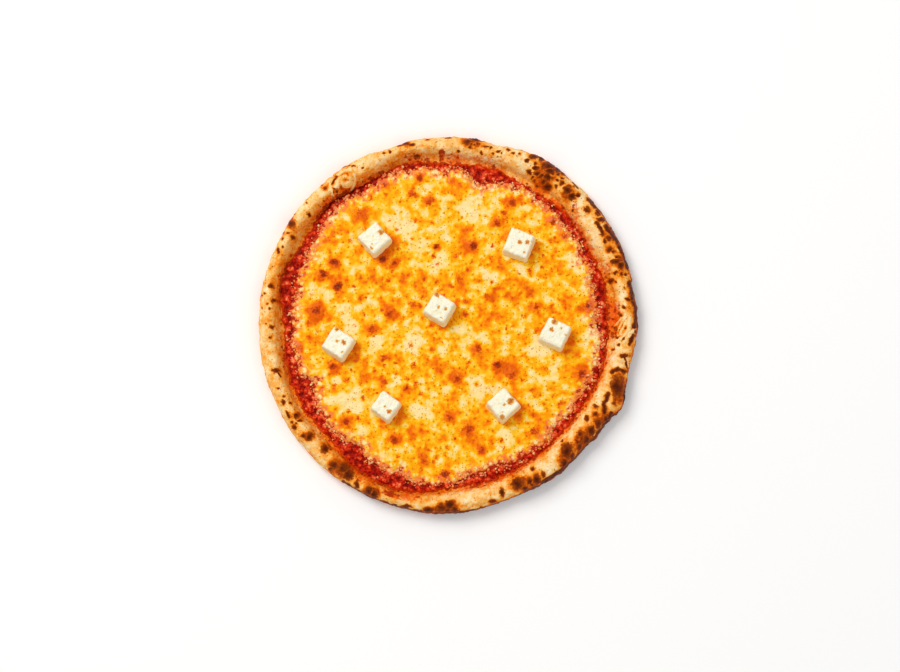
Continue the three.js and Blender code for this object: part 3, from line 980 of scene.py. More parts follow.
@dataclass
class Dough:
    """The stretched dough disc with its raised rim, in mm and degrees."""

    floor: float = 4.0
    belly: float = 5.5  # height of the outermost point of the rim
    crest: float = 0.55  # share of the rim's width, from its foot, at which it is highest
    fullness: float = 2.4  # power of the curves of the rim's section
    fillet: tuple[float, float] = (-0.05, 0.14)  # shares of its width in which its foot curves up
    inset: float = 6.5  # how far the flat underside stops short of the outer edge
    lip: float = 0.9  # how far the torn skin at the lower right stands out
    lip_rise: tuple[float, float] = (331.0, 331.7)  # the angles in which it rises
    lip_fall: tuple[float, float] = (335.0, 341.0)  # the angles in which it falls
    valley: float = 127.0  # where the slope under the burst blister is stained to its top
    scorched_and_shaded_at: float = -40.0  # where the outer side is darkest, partly scorched and partly painted shade
    pale_at: float = 25.0  # where the inner slope is palest, with the least painted shade
    lump: float = 0.6
    crag: float = 0.4
    wrinkle: float = 0.55
    blister: float = 0.24  # rise of a charred blister, beside its smaller half width
    pimple: float = 0.17  # rise of a pimple, beside its size
    grain: float = 0.12
    warp: float = 0.9  # how far the outlines of the marks are pushed about
    char_growth: float = 1.12  # how much wider than its row says a mark fades out
    pimple_count: int = 520
    pimple_size: tuple[float, float] = (0.8, 2.8)
    browned_pimples: float = 0.3  # the share of them that is browned
    rim_radius: float = 145.0  # about the middle of the rim
    sectors: int = 1264
    under_rings: int = 7
    oval_rings: int = 9
    shoulder_rings: int = 21
    slope_rings: int = 22
    cad_sectors: int = 144
    bake: BakeLevels = BakeLevels()
    noise: Noise = field(default_factory=lambda: Noise(11))

    # How far out the rim's inner slope is golden, in mm, every 15 degrees.
    golden: Round = Round(np.array([
        134, 137, 130.5, 136, 134.5, 133, 134.5, 141, 136, 140, 143.5, 144,
        137, 138.5, 140, 136, 143, 145, 134.5, 131, 130, 127.5, 128, 130,
    ]) * MM)
    # How far out the sauce runs, in mm, every 15 degrees.
    red: Round = Round(np.array([
        126.5, 128, 127, 129, 126.5, 130, 128.5, 133, 130.5, 134.5, 133.5, 138,
        131.5, 133.5, 133.5, 132, 137, 137.5, 131, 129, 126.5, 124.5, 125, 127.5,
    ]) * MM)

    # Charred blisters: x, y, half width along x and along y, heat.
    # fmt: off
    chars: tuple[tuple[float, float, float, float, float], ...] = (
        # The cluster at the upper right.
        (62.3, 129.0, 1.8, 1.8, 0.75), (67.3, 132.2, 3.9, 2.4, 0.5), (73.3, 131.5, 2.1, 3.5, 0.8),
        (79.1, 125.0, 5.7, 3.3, 1), (79.5, 120.2, 3.3, 3.5, 1), (78.4, 115.8, 3.6, 2.5, 1),
        (73.8, 116.6, 2.8, 1.7, 0.75), (74.6, 112.5, 2.1, 1.6, 0.75), (83.4, 126.7, 1.4, 2.5, 0.9),
        (86.1, 121.8, 3.2, 2.5, 1), (90.7, 119.8, 2.1, 1.9, 0.95), (86.6, 117.9, 1.6, 1.4, 0.8),
        (69.0, 123.1, 2.5, 1.5, 0.8), (63.7, 119.8, 1.8, 1.6, 0.7), (69.8, 119.0, 2.4, 1.8, 0.85),
        (66.5, 116.5, 1.1, 1.1, 0.65), (67.8, 113.5, 1.2, 1.1, 0.7), (68.4, 126.7, 1.2, 0.9, 0.6),
        (78.5, 108.9, 2.8, 2.7, 0.95), (69.9, 109.7, 1.4, 1.1, 0.6), (89.1, 110.9, 1.6, 2.1, 0.75),
        (85.0, 108.6, 1.5, 1.5, 0.65), (89.6, 115.0, 1.3, 1.0, 0.6), (85.3, 113.1, 1.1, 0.9, 0.6),
        (93.7, 105.2, 3.3, 3.3, 0.85), (97.3, 100.5, 3.3, 2.7, 1), (101.9, 101.8, 1.4, 1.6, 0.65),
        (98.6, 108.6, 0.8, 0.8, 0.55), (98.3, 89.6, 0.9, 0.9, 0.6),
        # The right.
        (109.1, 89.9, 2.6, 2.1, 0.75), (117.7, 88.0, 1.7, 2.7, 0.75), (120.4, 82.5, 3.3, 2.2, 0.65),
        (121.5, 70.7, 1.9, 1.9, 0.7), (126.2, 67.3, 1.9, 1.9, 0.85), (122.6, 64.8, 1.1, 1.9, 0.6),
        (127.1, 58.3, 2.2, 1.9, 0.8), (129.5, 56.8, 1.7, 1.4, 0.8), (132.0, 48.9, 4.1, 2.4, 1),
        (135.7, 46.0, 2.1, 2.7, 1), (132.4, 52.5, 1.7, 1.3, 0.65), (131.6, 40.3, 1.5, 1.5, 0.7),
        (136.3, 39.2, 1.1, 1.9, 0.65), (139.6, 38.6, 1.0, 1.0, 0.6), (128.1, 34.2, 1.9, 1.6, 0.75),
        (131.7, 32.8, 1.0, 0.9, 0.6), (141.8, 19.2, 2.4, 1.4, 0.65), (137.8, -11.9, 2.1, 1.8, 0.65),
        (133.6, -10.8, 0.9, 0.9, 0.75), (147.4, -6.4, 0.9, 1.3, 0.75), (135.6, 6.5, 1.4, 1.1, 0.6),
        (131.6, -2.7, 0.8, 1.3, 0.75), (133.0, -5.0, 0.8, 0.8, 0.7), (135.2, -2.8, 0.6, 0.6, 0.7),
        (139.5, -3.6, 0.7, 0.7, 0.6), (138.0, 12.7, 1.3, 0.9, 0.65), (137.7, 28.5, 0.8, 1.0, 0.6),
        (133.9, -16.7, 1.3, 1.1, 0.7), (129.5, -20.1, 1.0, 1.0, 0.7), (138.3, -25.7, 3.6, 1.3, 0.8),
        # The lower right.
        (132.2, -49.5, 4.3, 7.9, 0.95), (115.5, -65.4, 1.7, 1.7, 0.6), (115.0, -71.1, 1.6, 1.4, 0.6),
        (130.1, -63.4, 1.7, 1.6, 0.55), (131.6, -72.2, 2.1, 1.6, 0.7), (108.7, -74.9, 1.4, 2.4, 0.6),
        (117.4, -78.7, 2.4, 3.3, 0.7), (124.5, -75.1, 3.0, 2.7, 0.95), (111.8, -84.2, 2.5, 4.3, 0.85),
        (107.9, -91.7, 2.4, 3.5, 0.85), (103.3, -87.6, 2.1, 2.1, 0.5), (102.7, -96.7, 1.9, 2.8, 0.65),
        (92.9, -100.2, 3.8, 5.5, 0.95), (90.5, -110.3, 2.7, 3.5, 1), (96.7, -104.8, 1.9, 3.2, 0.8),
        (53.6, -125.8, 4.6, 3.8, 0.9), (59.4, -130.0, 2.2, 1.6, 0.9), (63.5, -124.3, 2.1, 2.8, 0.7),
        (69.2, -122.8, 2.7, 3.5, 0.8), (74.1, -119.1, 1.9, 2.7, 0.55), (65.1, -127.0, 1.7, 1.1, 0.7),
        (65.7, -114.2, 1.5, 1.4, 0.55), (89.3, -92.9, 0.9, 0.9, 0.6), (34.4, -139.7, 2.4, 1.3, 0.6),
        (41.7, -133.0, 1.6, 2.8, 0.55), (25.5, -144.2, 1.2, 0.7, 0.55),
        # The lower left.
        (-90.3, -110.9, 3.2, 3.3, 0.7), (-92.6, -114.2, 1.4, 1.4, 0.9), (-83.0, -114.1, 3.6, 3.5, 0.75),
        (-79.1, -118.7, 3.9, 3.8, 0.85), (-71.8, -126.6, 1.7, 3.6, 0.55), (-62.5, -131.3, 3.8, 3.3, 0.7),
        (-58.7, -134.0, 2.7, 3.2, 0.9), (-61.1, -137.6, 2.4, 1.1, 0.85), (-34.4, -144.1, 4.6, 1.7, 0.65),
        (-21.6, -148.7, 1.7, 0.8, 0.6), (-15.9, -146.6, 3.6, 2.4, 0.9), (-4.9, -144.7, 3.5, 3.6, 0.65),
        (0.7, -142.5, 4.3, 3.3, 0.85), (4.1, -146.0, 2.8, 2.7, 0.9), (-1.1, -146.8, 2.8, 1.9, 0.75),
        (-97.4, -98.8, 3.1, 3.5, 0.6), (-109.5, -89.1, 2.5, 2.5, 0.95), (-113.8, -88.2, 2.4, 1.7, 0.8),
        (-120.4, -72.9, 1.9, 2.0, 0.85), (-121.0, -81.8, 1.6, 2.1, 0.65), (-119.8, -78.6, 1.0, 1.0, 0.6),
        (-117.0, -76.7, 1.6, 0.8, 0.55), (-123.4, -77.8, 0.8, 0.8, 0.6), (-129.7, -62.0, 1.3, 2.2, 0.5),
        (-124.9, -63.2, 0.9, 0.9, 0.6), (-129.7, -57.4, 0.9, 0.9, 0.5), (-134.3, -50.8, 1.3, 0.9, 0.6),
        # The left.
        (-136.0, -37.3, 2.7, 1.7, 0.7), (-139.3, -3.0, 1.8, 1.4, 0.75), (-140.7, -11.4, 0.8, 0.8, 0.55),
        (-143.5, -0.5, 0.8, 0.8, 0.5), (-141.1, 11.4, 1.0, 1.0, 0.75), (-138.2, 18.1, 1.8, 1.3, 0.8),
        (-143.1, 16.0, 0.7, 0.9, 0.6), (-147.0, 12.6, 0.7, 0.9, 0.55), (-139.9, 29.5, 1.7, 1.8, 0.65),
        (-145.1, 23.9, 1.1, 0.6, 0.6), (-147.0, 22.4, 0.8, 0.6, 0.55), (-134.4, 57.6, 0.9, 2.4, 0.5),
        (-130.9, 60.7, 1.0, 1.0, 0.75), (-130.9, 67.3, 1.1, 1.6, 0.65), (-127.2, 71.3, 1.3, 0.9, 0.8),
        (-130.9, 71.8, 0.8, 0.8, 0.6), (-123.0, 68.2, 1.5, 1.5, 0.6), (-124.4, 78.9, 2.5, 3.2, 0.65),
        (-110.2, 86.6, 1.2, 1.2, 0.85), (-123.0, 87.1, 1.3, 0.7, 0.5), (-112.3, 95.8, 0.7, 0.7, 0.5),
        (-100.6, 110.2, 0.7, 0.7, 0.55),
        # The burst blister.
        (-97.3, 106.7, 1.0, 1.2, 0.5), (-90.2, 106.9, 1.3, 0.9, 0.6), (-88.5, 104.9, 0.8, 0.8, 0.65),
        (-91.4, 104.5, 0.8, 0.8, 0.6), (-84.7, 109.3, 1.1, 0.9, 0.75), (-79.5, 113.8, 1.5, 0.9, 0.55),
        # The top.
        (-83.1, 125.1, 1.4, 0.7, 0.7), (-78.6, 125.2, 1.2, 0.9, 0.85), (-74.8, 124.6, 2.1, 0.7, 0.65),
        (-68.1, 123.6, 0.8, 0.8, 0.6), (-46.8, 136.1, 1.0, 1.0, 0.9), (-51.1, 134.9, 1.3, 0.7, 0.6),
        (-39.3, 141.9, 1.6, 0.8, 0.65), (-34.2, 143.0, 2.8, 1.3, 0.8), (-29.0, 141.7, 1.7, 1.3, 0.65),
        (-17.2, 145.8, 1.3, 0.6, 0.5), (-0.6, 147.9, 1.7, 0.9, 0.6), (7.3, 137.1, 1.4, 0.6, 0.7),
        (-25.5, 134.1, 2.1, 1.1, 0.5), (15.2, 143.8, 3.3, 2.5, 0.65), (17.6, 142.0, 1.4, 1.4, 0.85),
        (20.7, 146.8, 4.1, 2.1, 0.95), (16.4, 139.2, 1.2, 0.9, 0.6), (23.1, 142.3, 1.0, 1.5, 0.7),
        (19.9, 141.6, 1.2, 0.9, 0.6), (29.4, 140.3, 2.5, 0.9, 0.6), (32.9, 139.3, 1.0, 1.0, 0.55),
        (25.5, 135.1, 0.9, 1.2, 0.55), (35.2, 134.1, 0.9, 0.9, 0.5), (39.4, 135.9, 2.1, 0.8, 0.6),
        (41.7, 134.9, 1.0, 1.0, 0.65), (47.3, 137.8, 1.7, 0.9, 0.6), (50.7, 135.2, 1.4, 0.8, 0.55),
        (55.9, 134.3, 0.9, 0.9, 0.6), (57.8, 138.2, 1.3, 0.8, 0.7),
    )
    # fmt: on
    # Dark streaks.
    streaks: tuple[Arc, ...] = (
        Arc(16.5, 37.0, 149.6, 149.8, 0.9, 0.72),
        # along the lower right edge: partly scorch, partly painted shade
        Arc(300.0, 331.0, 145.0, 146.2, 1.5, 0.92),
        Arc(236.0, 262.0, 149.2, 149.4, 0.8, 0.6),
        Arc(266.0, 300.0, 149.4, 146.0, 1.0, 0.66),
    )
    # The torn skin at the right, and the burst blister at the upper left.
    folds: tuple[Line, ...] = (
        Line(((139.1, 6.2), (135.2, 2.6), (131.6, -1.5)), 0.8, 0.6),
        Line(((138.8, 4.7), (136.3, -0.1), (133.6, -5.6)), 0.7, 0.6),
        Line(((139.5, 2.3), (137.9, -3.2), (135.5, -8.0)), 0.7, 0.6),
        Line(((142.0, 4.7), (141.8, -4.8), (136.8, -10.7), (130.5, -15.9)), 1.0, 0.9),
        Line(((145.3, -5.3), (141.5, -10.0), (137.4, -15.1)), 0.8, 0.8),
        Line(((-88.6, 108.6), (-87.6, 111.6), (-86.0, 114.4)), 1.5, 1.5),
        Line(((-84.0, 110.4), (-81.4, 110.2), (-79.0, 111.4), (-77.6, 114.4)), 1.7, 2.0),
        Line(((-87.6, 117.6), (-82.7, 120.7), (-77.6, 121.8)), 0.9, 1.2),
        Line(((-74.6, 117.6), (-75.0, 112.5), (-77.2, 107.0)), 1.2, 1.1),
        Line(((-83.6, 115.6), (-81.0, 116.6)), 1.0, 0.9),
        Line(((-93.3, 108.9), (-92.8, 106.0), (-92.0, 102.6)), 0.6, 0.7),
    )
    # Scorched lines.
    scorches: tuple[Line, ...] = (
        Line(((142.8, 32.3), (144.2, 26.0), (144.4, 19.7)), 1.0, 1.8),
        Line(((145.5, 17.3), (147.5, 12.6), (148.1, 7.8), (147.0, 2.3), (146.1, -3.2)), 1.0, 1.7),
        Line(((145.5, -9.2), (142.6, -15.5)), 0.95, 1.7),
        Line(((110.4, 98.6), (113.4, 95.5), (116.3, 92.0)), 0.8, 1.8),
        Line(((116.6, 79.3), (118.8, 75.2), (121.5, 71.0)), 0.8, 1.7),
        Line(((123.8, 76.8), (127.6, 72.2), (133.1, 63.9)), 1.0, 1.8),
        Line(((134.7, 60.7), (137.3, 55.2), (141.2, 44.1)), 0.95, 1.3),
        Line(((125.3, -55.8), (122.3, -62.9), (122.4, -70.0)), 0.9, 1.8),
        Line(((98.4, 112.3), (102.4, 107.0)), 0.8, 0.6),
        Line(((-134.0, -39.2), (-131.6, -41.6)), 0.55, 0.7),
        Line(((-127.2, -69.2), (-125.0, -73.5)), 0.8, 0.9),
        Line(((138.0, -26.1), (140.6, -34.8)), 0.8, 0.8),
        Line(((128.5, -38.8), (132.8, -36.0), (138.0, -37.6)), 0.75, 1.7),
        Line(((-92.2, 110.5), (-90.9, 113.0), (-88.1, 116.0)), 0.75, 0.7),
        Line(((-91.4, 118.8), (-92.6, 118.0)), 0.5, 0.5),
    )
    # Browned skin between folds and blisters: x, y, half width along x and along y, and how brown.
    browned: tuple[tuple[float, float, float, float, float], ...] = (
        (-82.5, 113.8, 8.5, 7.5, 0.44), (134.6, -2.6, 6.0, 8.0, 0.3), (-97.0, 107.6, 3.0, 3.0, 0.34),
        (79.4, 120.2, 11.5, 10.0, 0.3), (95.7, 103.3, 6.0, 6.0, 0.3), (111.0, 93.0, 6.0, 7.0, 0.12),
        (127.0, 70.0, 6.0, 13.0, 0.18), (137.5, 45.0, 5.5, 12.0, 0.24), (144.5, 20.0, 4.5, 16.0, 0.3),
        (135.0, -50.6, 6.5, 12.0, 0.36), (121.5, -76.0, 9.0, 10.0, 0.34), (106.0, -94.0, 8.0, 13.0, 0.36),
        (92.0, -107.0, 7.0, 8.0, 0.34), (62.0, -126.0, 14.0, 7.0, 0.28), (0.0, -145.0, 11.0, 5.0, 0.26),
        (-86.0, -114.0, 10.0, 7.0, 0.28), (-60.5, -134.0, 7.0, 5.0, 0.26), (-111.0, -88.5, 5.0, 4.5, 0.24),
        (18.4, 143.6, 10.0, 5.0, 0.24), (-124.4, 78.9, 4.0, 5.0, 0.2), (-34.0, 142.6, 6.0, 3.0, 0.18),
    )
    # Sauce on the inner slope: x, y, half width along x and along y, and how thick it is.
    splashes: tuple[tuple[float, float, float, float, float], ...] = (
        (-5.6, 134.6, 2.1, 3.6, 1.1), (-17.5, 130.5, 2.0, 2.5, 1.0), (7.0, 132.2, 1.3, 1.6, 0.9),
        (-46.5, -134.3, 1.7, 3.3, 1.1), (-45.3, -129.6, 1.3, 2.8, 1.0), (-70.9, -115.3, 2.4, 3.2, 0.9),
        (129.7, 8.6, 5.5, 8.7, 0.75), (128.1, -5.6, 4.7, 7.1, 0.6), (68.9, 108.9, 7.1, 6.3, 0.35),
        (-38.5, -134.3, 16.0, 5.5, 0.6), (-69.3, -120.1, 4.7, 6.3, 0.5), (26.3, 130.2, 15.8, 3.2, 0.4),
        (4.9, 131.8, 7.1, 3.9, 0.5), (-25.9, 132.6, 9.5, 3.2, 0.5), (124.1, 42.6, 3.9, 7.9, 0.5),
        (99.7, 88.3, 3.2, 7.9, 0.5),
    )

    def __post_init__(self) -> None:
        """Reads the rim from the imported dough."""
        corners = corners_of("dough")
        reach = np.hypot(corners[:, 0], corners[:, 1])
        on_floor = (np.abs(corners[:, 2] - self.floor * MM) < 0.2 * MM) & (reach > 0.1)
        self.edge = Round.of_node(corners, self.cad_sectors)
        self.top = Round(by_sector(corners[:, 2], corners, self.cad_sectors, np.maximum))
        self.foot = Round(by_sector(reach[on_floor], corners[on_floor], self.cad_sectors, np.minimum))

    def _section(self) -> list[tuple[str, float]]:
        """The section's points in order: which stretch each is on, and how far along it."""
        under = [("under", t) for t in np.linspace(0, 1, self.under_rings)]
        oval = [("oval", t) for t in np.linspace(0, 1, self.oval_rings)[1:]]
        shoulder = [("shoulder", t) for t in np.linspace(0, 1, self.shoulder_rings)[1:]]
        slope = [("slope", t) for t in np.linspace(1, 0, self.slope_rings)[1:]]
        return [*under, *oval, *shoulder, *slope, ("floor", 0.96), ("floor", 0.0)]

    def surface(self, reach: Array, angle: Array) -> Array:
        """The height of the dough on its floor and inner slope, without its lumps.

        Args:
            reach: Distances from the middle in metres.
            angle: Angles in radians.

        Returns:
            Heights in metres.
        """
        foot, top = self.foot.at(angle), self.top.at(angle)
        share = np.clip((reach - foot) / (self.edge.at(angle) - foot), 0, self.crest)
        climb = (1 - (1 - share / self.crest) ** self.fullness) * smoothstep(share, *self.fillet)
        return self.floor * MM + (top - self.floor * MM) * climb

    def _place(self, stretch: Array, t: Array, angle: Array) -> tuple[Array, Array]:
        """Works out where points of the section lie.

        Args:
            stretch: The stretch that each point is on.
            t: How far along it.
            angle: The angle round the pizza.

        Returns:
            Distances from the axis and heights, in metres.
        """
        degrees = np.degrees(angle) % 360
        lip = self.lip * smoothstep(degrees, *self.lip_rise) * (1 - smoothstep(degrees, *self.lip_fall))
        edge = self.edge.at(angle) + MM * lip
        foot, top = self.foot.at(angle), self.top.at(angle)
        belly, width = self.belly * MM, edge - foot
        lift = t * math.pi / 2
        share = self.crest + (1 - self.crest) * np.cos(lift) ** (2 / self.fullness)
        inner = foot + t * self.crest * width
        options = {
            "under": (t * (edge - self.inset * MM), 0 * t),
            "oval": (edge - self.inset * MM * (1 - np.sin(lift)), belly * (1 - np.cos(lift))),
            "shoulder": (foot + share * width, belly + (top - belly) * np.sin(lift)),
            "slope": (inner, self.surface(inner, angle)),
            "floor": (t * foot, self.floor * MM + 0 * t),
        }
        reach, height = np.zeros(len(t)), np.zeros(len(t))
        for name, (r, z) in options.items():
            mine = stretch == name
            reach[mine], height[mine] = r[mine], z[mine]
        return reach, height

    def build(self) -> bpy.types.Object:
        """Models the dough.

        Returns:
            The finished piece.
        """
        section = self._section()
        stretches = np.array([name for name, _ in section])
        shares = np.array([t for _, t in section])
        plain = self._place(stretches, shares, np.zeros(len(section)))
        piece, row = spun("baked_dough", np.column_stack(plain), self.sectors)
        points = points_of(piece)
        angle = np.arctan2(points[:, 1], points[:, 0])
        stretch = stretches[row]
        reach, height = self._place(stretch, shares[row], angle)
        move_points(piece, in_plan(reach, angle) + height[:, None] * (0, 0, 1))
        on_floor = (stretch == "floor") | ((stretch == "slope") & (shares[row] <= 0))
        marks = self._raise(piece, smoothstep(height, 0.4 * MM, 4 * MM) * ~on_floor)
        self._colour(piece, stretch, marks)
        smooth(piece)
        piece.data.materials.append(BakedDough().material())
        hand_over(piece, "crust", "dough")
        return piece

    def _raise(self, piece: bpy.types.Object, free: Array) -> Marks:
        """Raises lumps, blisters, folds and pimples.

        Args:
            piece: The dough.
            free: How freely each point may move, from 0 to 1.

        Returns:
            How strongly each kind reaches every point.
        """
        points = points_of(piece)
        lumps = self.lump * self.noise(points, 15 * MM) + 0.55 * self.noise(points + 1, 6 * MM, 2)
        wrinkle = 1 - smoothstep(np.abs(self.noise(points * (1, 1, 1.3), 11 * MM, 3)), 0.0, 0.16)
        wrinkle *= smoothstep(self.noise(points + 12, 20 * MM), -0.2, 0.5)
        crags = self.crag * self.noise(points + 13, 4.5 * MM, 3)
        swell(piece, MM * free * (lumps + crags - self.wrinkle * wrinkle))
        points = points_of(piece)
        warped = points + self.warp * MM * self.noise.push(points, 4.5 * MM, 3, 2)
        ring = Sorted(np.arctan2(warped[:, 1], warped[:, 0]))
        outside = smoothstep(points[:, 2], 1 * MM, self.belly * MM)
        char, crease, rise = self._scorch(warped, ring, outside)
        fold = np.zeros(len(points))
        for line in self.folds:
            strength = line.strength(warped) * outside
            fold = np.maximum(fold, smoothstep(strength, 0.05, 0.8))
            rise = np.maximum(rise, line.level * smoothstep(strength, 0, 0.9))
        pimple = self._pimple(warped, ring, free, rise)
        swell(piece, MM * free * (rise + self.grain * self.noise(points, 2.2 * MM)))
        return Marks(char, crease, fold, wrinkle, pimple)

    def _scorch(self, warped: Array, ring: Sorted, outside: Array) -> tuple[Array, Array, Array]:
        """Lays out the charred blisters, the streaks and the scorched lines.

        Args:
            warped: The points of the dough, pushed about.
            ring: The same points in the order of their angles.
            outside: 1 on the points that the fire reaches, and 0 on the underside.

        Returns:
            The char, how far each point is from a crease, and how high it rises in mm.
        """
        marks, rise = Strongest(len(warped)), np.zeros(len(warped))
        for x, y, wide, tall, heat in self.chars:
            near = ring.within(math.atan2(y, x), 2.4 * max(wide, tall) / math.hypot(x, y))
            spot = Spot(x, y, self.char_growth * wide, self.char_growth * tall)
            strength = spot.strength(warped[near]) * outside[near] * tempered(heat)
            marks.add(strength, near)
            rise[near] = np.maximum(rise[near], self.blister * min(wide, tall) * dome(1 - strength, 0.8))
        angle, reach = np.arctan2(warped[:, 1], warped[:, 0]), np.hypot(warped[:, 0], warped[:, 1])
        for streak in self.streaks:
            marks.add(streak.strength(angle, reach) * outside * tempered(streak.heat))
        for line in self.scorches:
            marks.add(line.strength(warped) * outside * tempered(line.level))
        crease = smoothstep(marks.first - marks.second, 0.0, 0.14)
        return marks.first, crease, rise * (0.35 + 0.65 * crease)

    def _pimple(self, warped: Array, ring: Sorted, free: Array, rise: Array) -> Array:
        """Raises small pimples all over, a few of them browned.

        Args:
            warped: The points of the dough, pushed about.
            ring: The same points in the order of their angles.
            free: How freely each point may move.
            rise: How high each point rises in mm, which the pimples add to.

        Returns:
            How browned each point is by a pimple.
        """
        draw = np.random.default_rng(5)
        angle = np.arctan2(warped[:, 1], warped[:, 0])
        browned = np.zeros(len(warped))
        for middle in draw.choice(np.flatnonzero(free > 0.9), self.pimple_count, replace=False):
            size = draw.uniform(*self.pimple_size)
            near = ring.within(angle[middle], 1.5 * size / self.rim_radius)
            away = np.linalg.norm(warped[near] - warped[middle], axis=1)
            pimple = dome(away, size * 1.3 * MM)
            rise[near] = np.maximum(rise[near], self.pimple * size * pimple)
            if draw.random() < self.browned_pimples:
                browned[near] = np.maximum(browned[near], pimple * draw.uniform(0.3, 0.9))
        return browned

    def _colour(self, piece: bpy.types.Object, stretch: Array, marks: Marks) -> None:
        """Stores how strongly the dough is baked and charred, and where the sauce has stained it.

        Args:
            piece: The dough.
            stretch: The stretch of the section that each point is on.
            marks: What stands on it.
        """
        points = points_of(piece)
        angle, reach = np.arctan2(points[:, 1], points[:, 0]), np.hypot(points[:, 0], points[:, 1])
        degrees = (np.degrees(angle) + 180) % 360 - 180
        tears = 0.9 * self.noise(points + 6, 6 * MM, 2) + 0.6 * self.noise(points + 7, 15 * MM)
        ragged = reach + MM * tears
        # left is 1 on the left and 0 at pale_at. It browns the slopes and the outer side, partly as real bake
        # and partly as painted shade, and it weakens the stain.
        left = 0.5 - 0.5 * np.cos(np.radians(degrees - self.pale_at))
        wander = MM * self.noise.push(points, 3.5 * MM, 2, 14)
        slope = 1 - smoothstep(ragged - self.golden.at(angle), -3.0 * MM, 2.2 * MM)
        deep = 1 - smoothstep(ragged - self.red.at(angle), -0.5 * MM, 3.0 * MM)

        level = self.bake
        bake = level.skin + level.cloud * self.noise(points + 5, 14 * MM, 3)
        bake += level.ripple * self.noise(points + 8, 5 * MM, 2) + level.wrinkle * marks.wrinkle
        bake += level.pimple * marks.pimple + level.round_char * smoothstep(marks.char, 0.02, 0.42)
        # The terms in left are painted shade on the left side as well as bake.
        bake += slope * (level.slope + 0.05 * left) + deep * (0.02 + 0.08 * left) + 0.03 * left * (1 - slope)
        brown = np.zeros(len(points))
        for x, y, wide, tall, heat in self.browned:
            strength = Spot(x, y, wide, tall).strength(points + 2.5 * wander)
            brown = np.maximum(brown, heat * smoothstep(strength, 0.25, 0.75))
        # The lower outer side is browned all round, and more at the lower right, where this is partly scorch
        # and partly painted shade.
        edge = np.isin(stretch, ("shoulder", "oval")) * smoothstep(-points[:, 2], -14.5 * MM, -6 * MM)
        scorched = smoothstep(np.cos(np.radians(degrees - self.scorched_and_shaded_at)), 0.2, 0.9)
        bake += brown + edge * (level.side + level.scorched_and_shaded_side * scorched)
        bake -= 0.8 * marks.fold * (bake - level.fold)
        under = stretch == "under"
        bake = np.where(under, level.underside, bake)

        char = marks.char * (0.94 + 0.12 * self.noise(points + 10, 5 * MM, 2))
        char += 0.1 * self.noise(points + 9, 2.6 * MM, 2)
        char = (char - 0.26 * (1 - marks.crease) * (marks.char > 0.1)) * (1 - 0.5 * marks.fold)

        stain = 0.85 * (1 - smoothstep(ragged - self.red.at(angle), -1.0 * MM, 4.6 * MM)) * (1 - 0.2 * left)
        for x, y, wide, tall, thick in self.splashes:
            strength = Spot(x, y, 0.9 * wide, 0.9 * tall).strength(points + 1.2 * wander)
            stain = np.maximum(stain, thick * smoothstep(strength, 0.1, 0.6))
        stain += 0.5 * bell(degrees, self.valley, 16) * slope
        stain *= (stretch == "slope") | (stretch == "floor")

        paint(piece, "under", under.astype(float))
        paint(piece, "bake", np.clip(bake, 0, 1.1))
        paint(piece, "char", np.clip(char, 0, 1.1))
        paint(piece, "stain", np.clip(stain * (1 - marks.fold), 0, 1.1))


# ---------------------------------------------------------------------------------------------- sauce


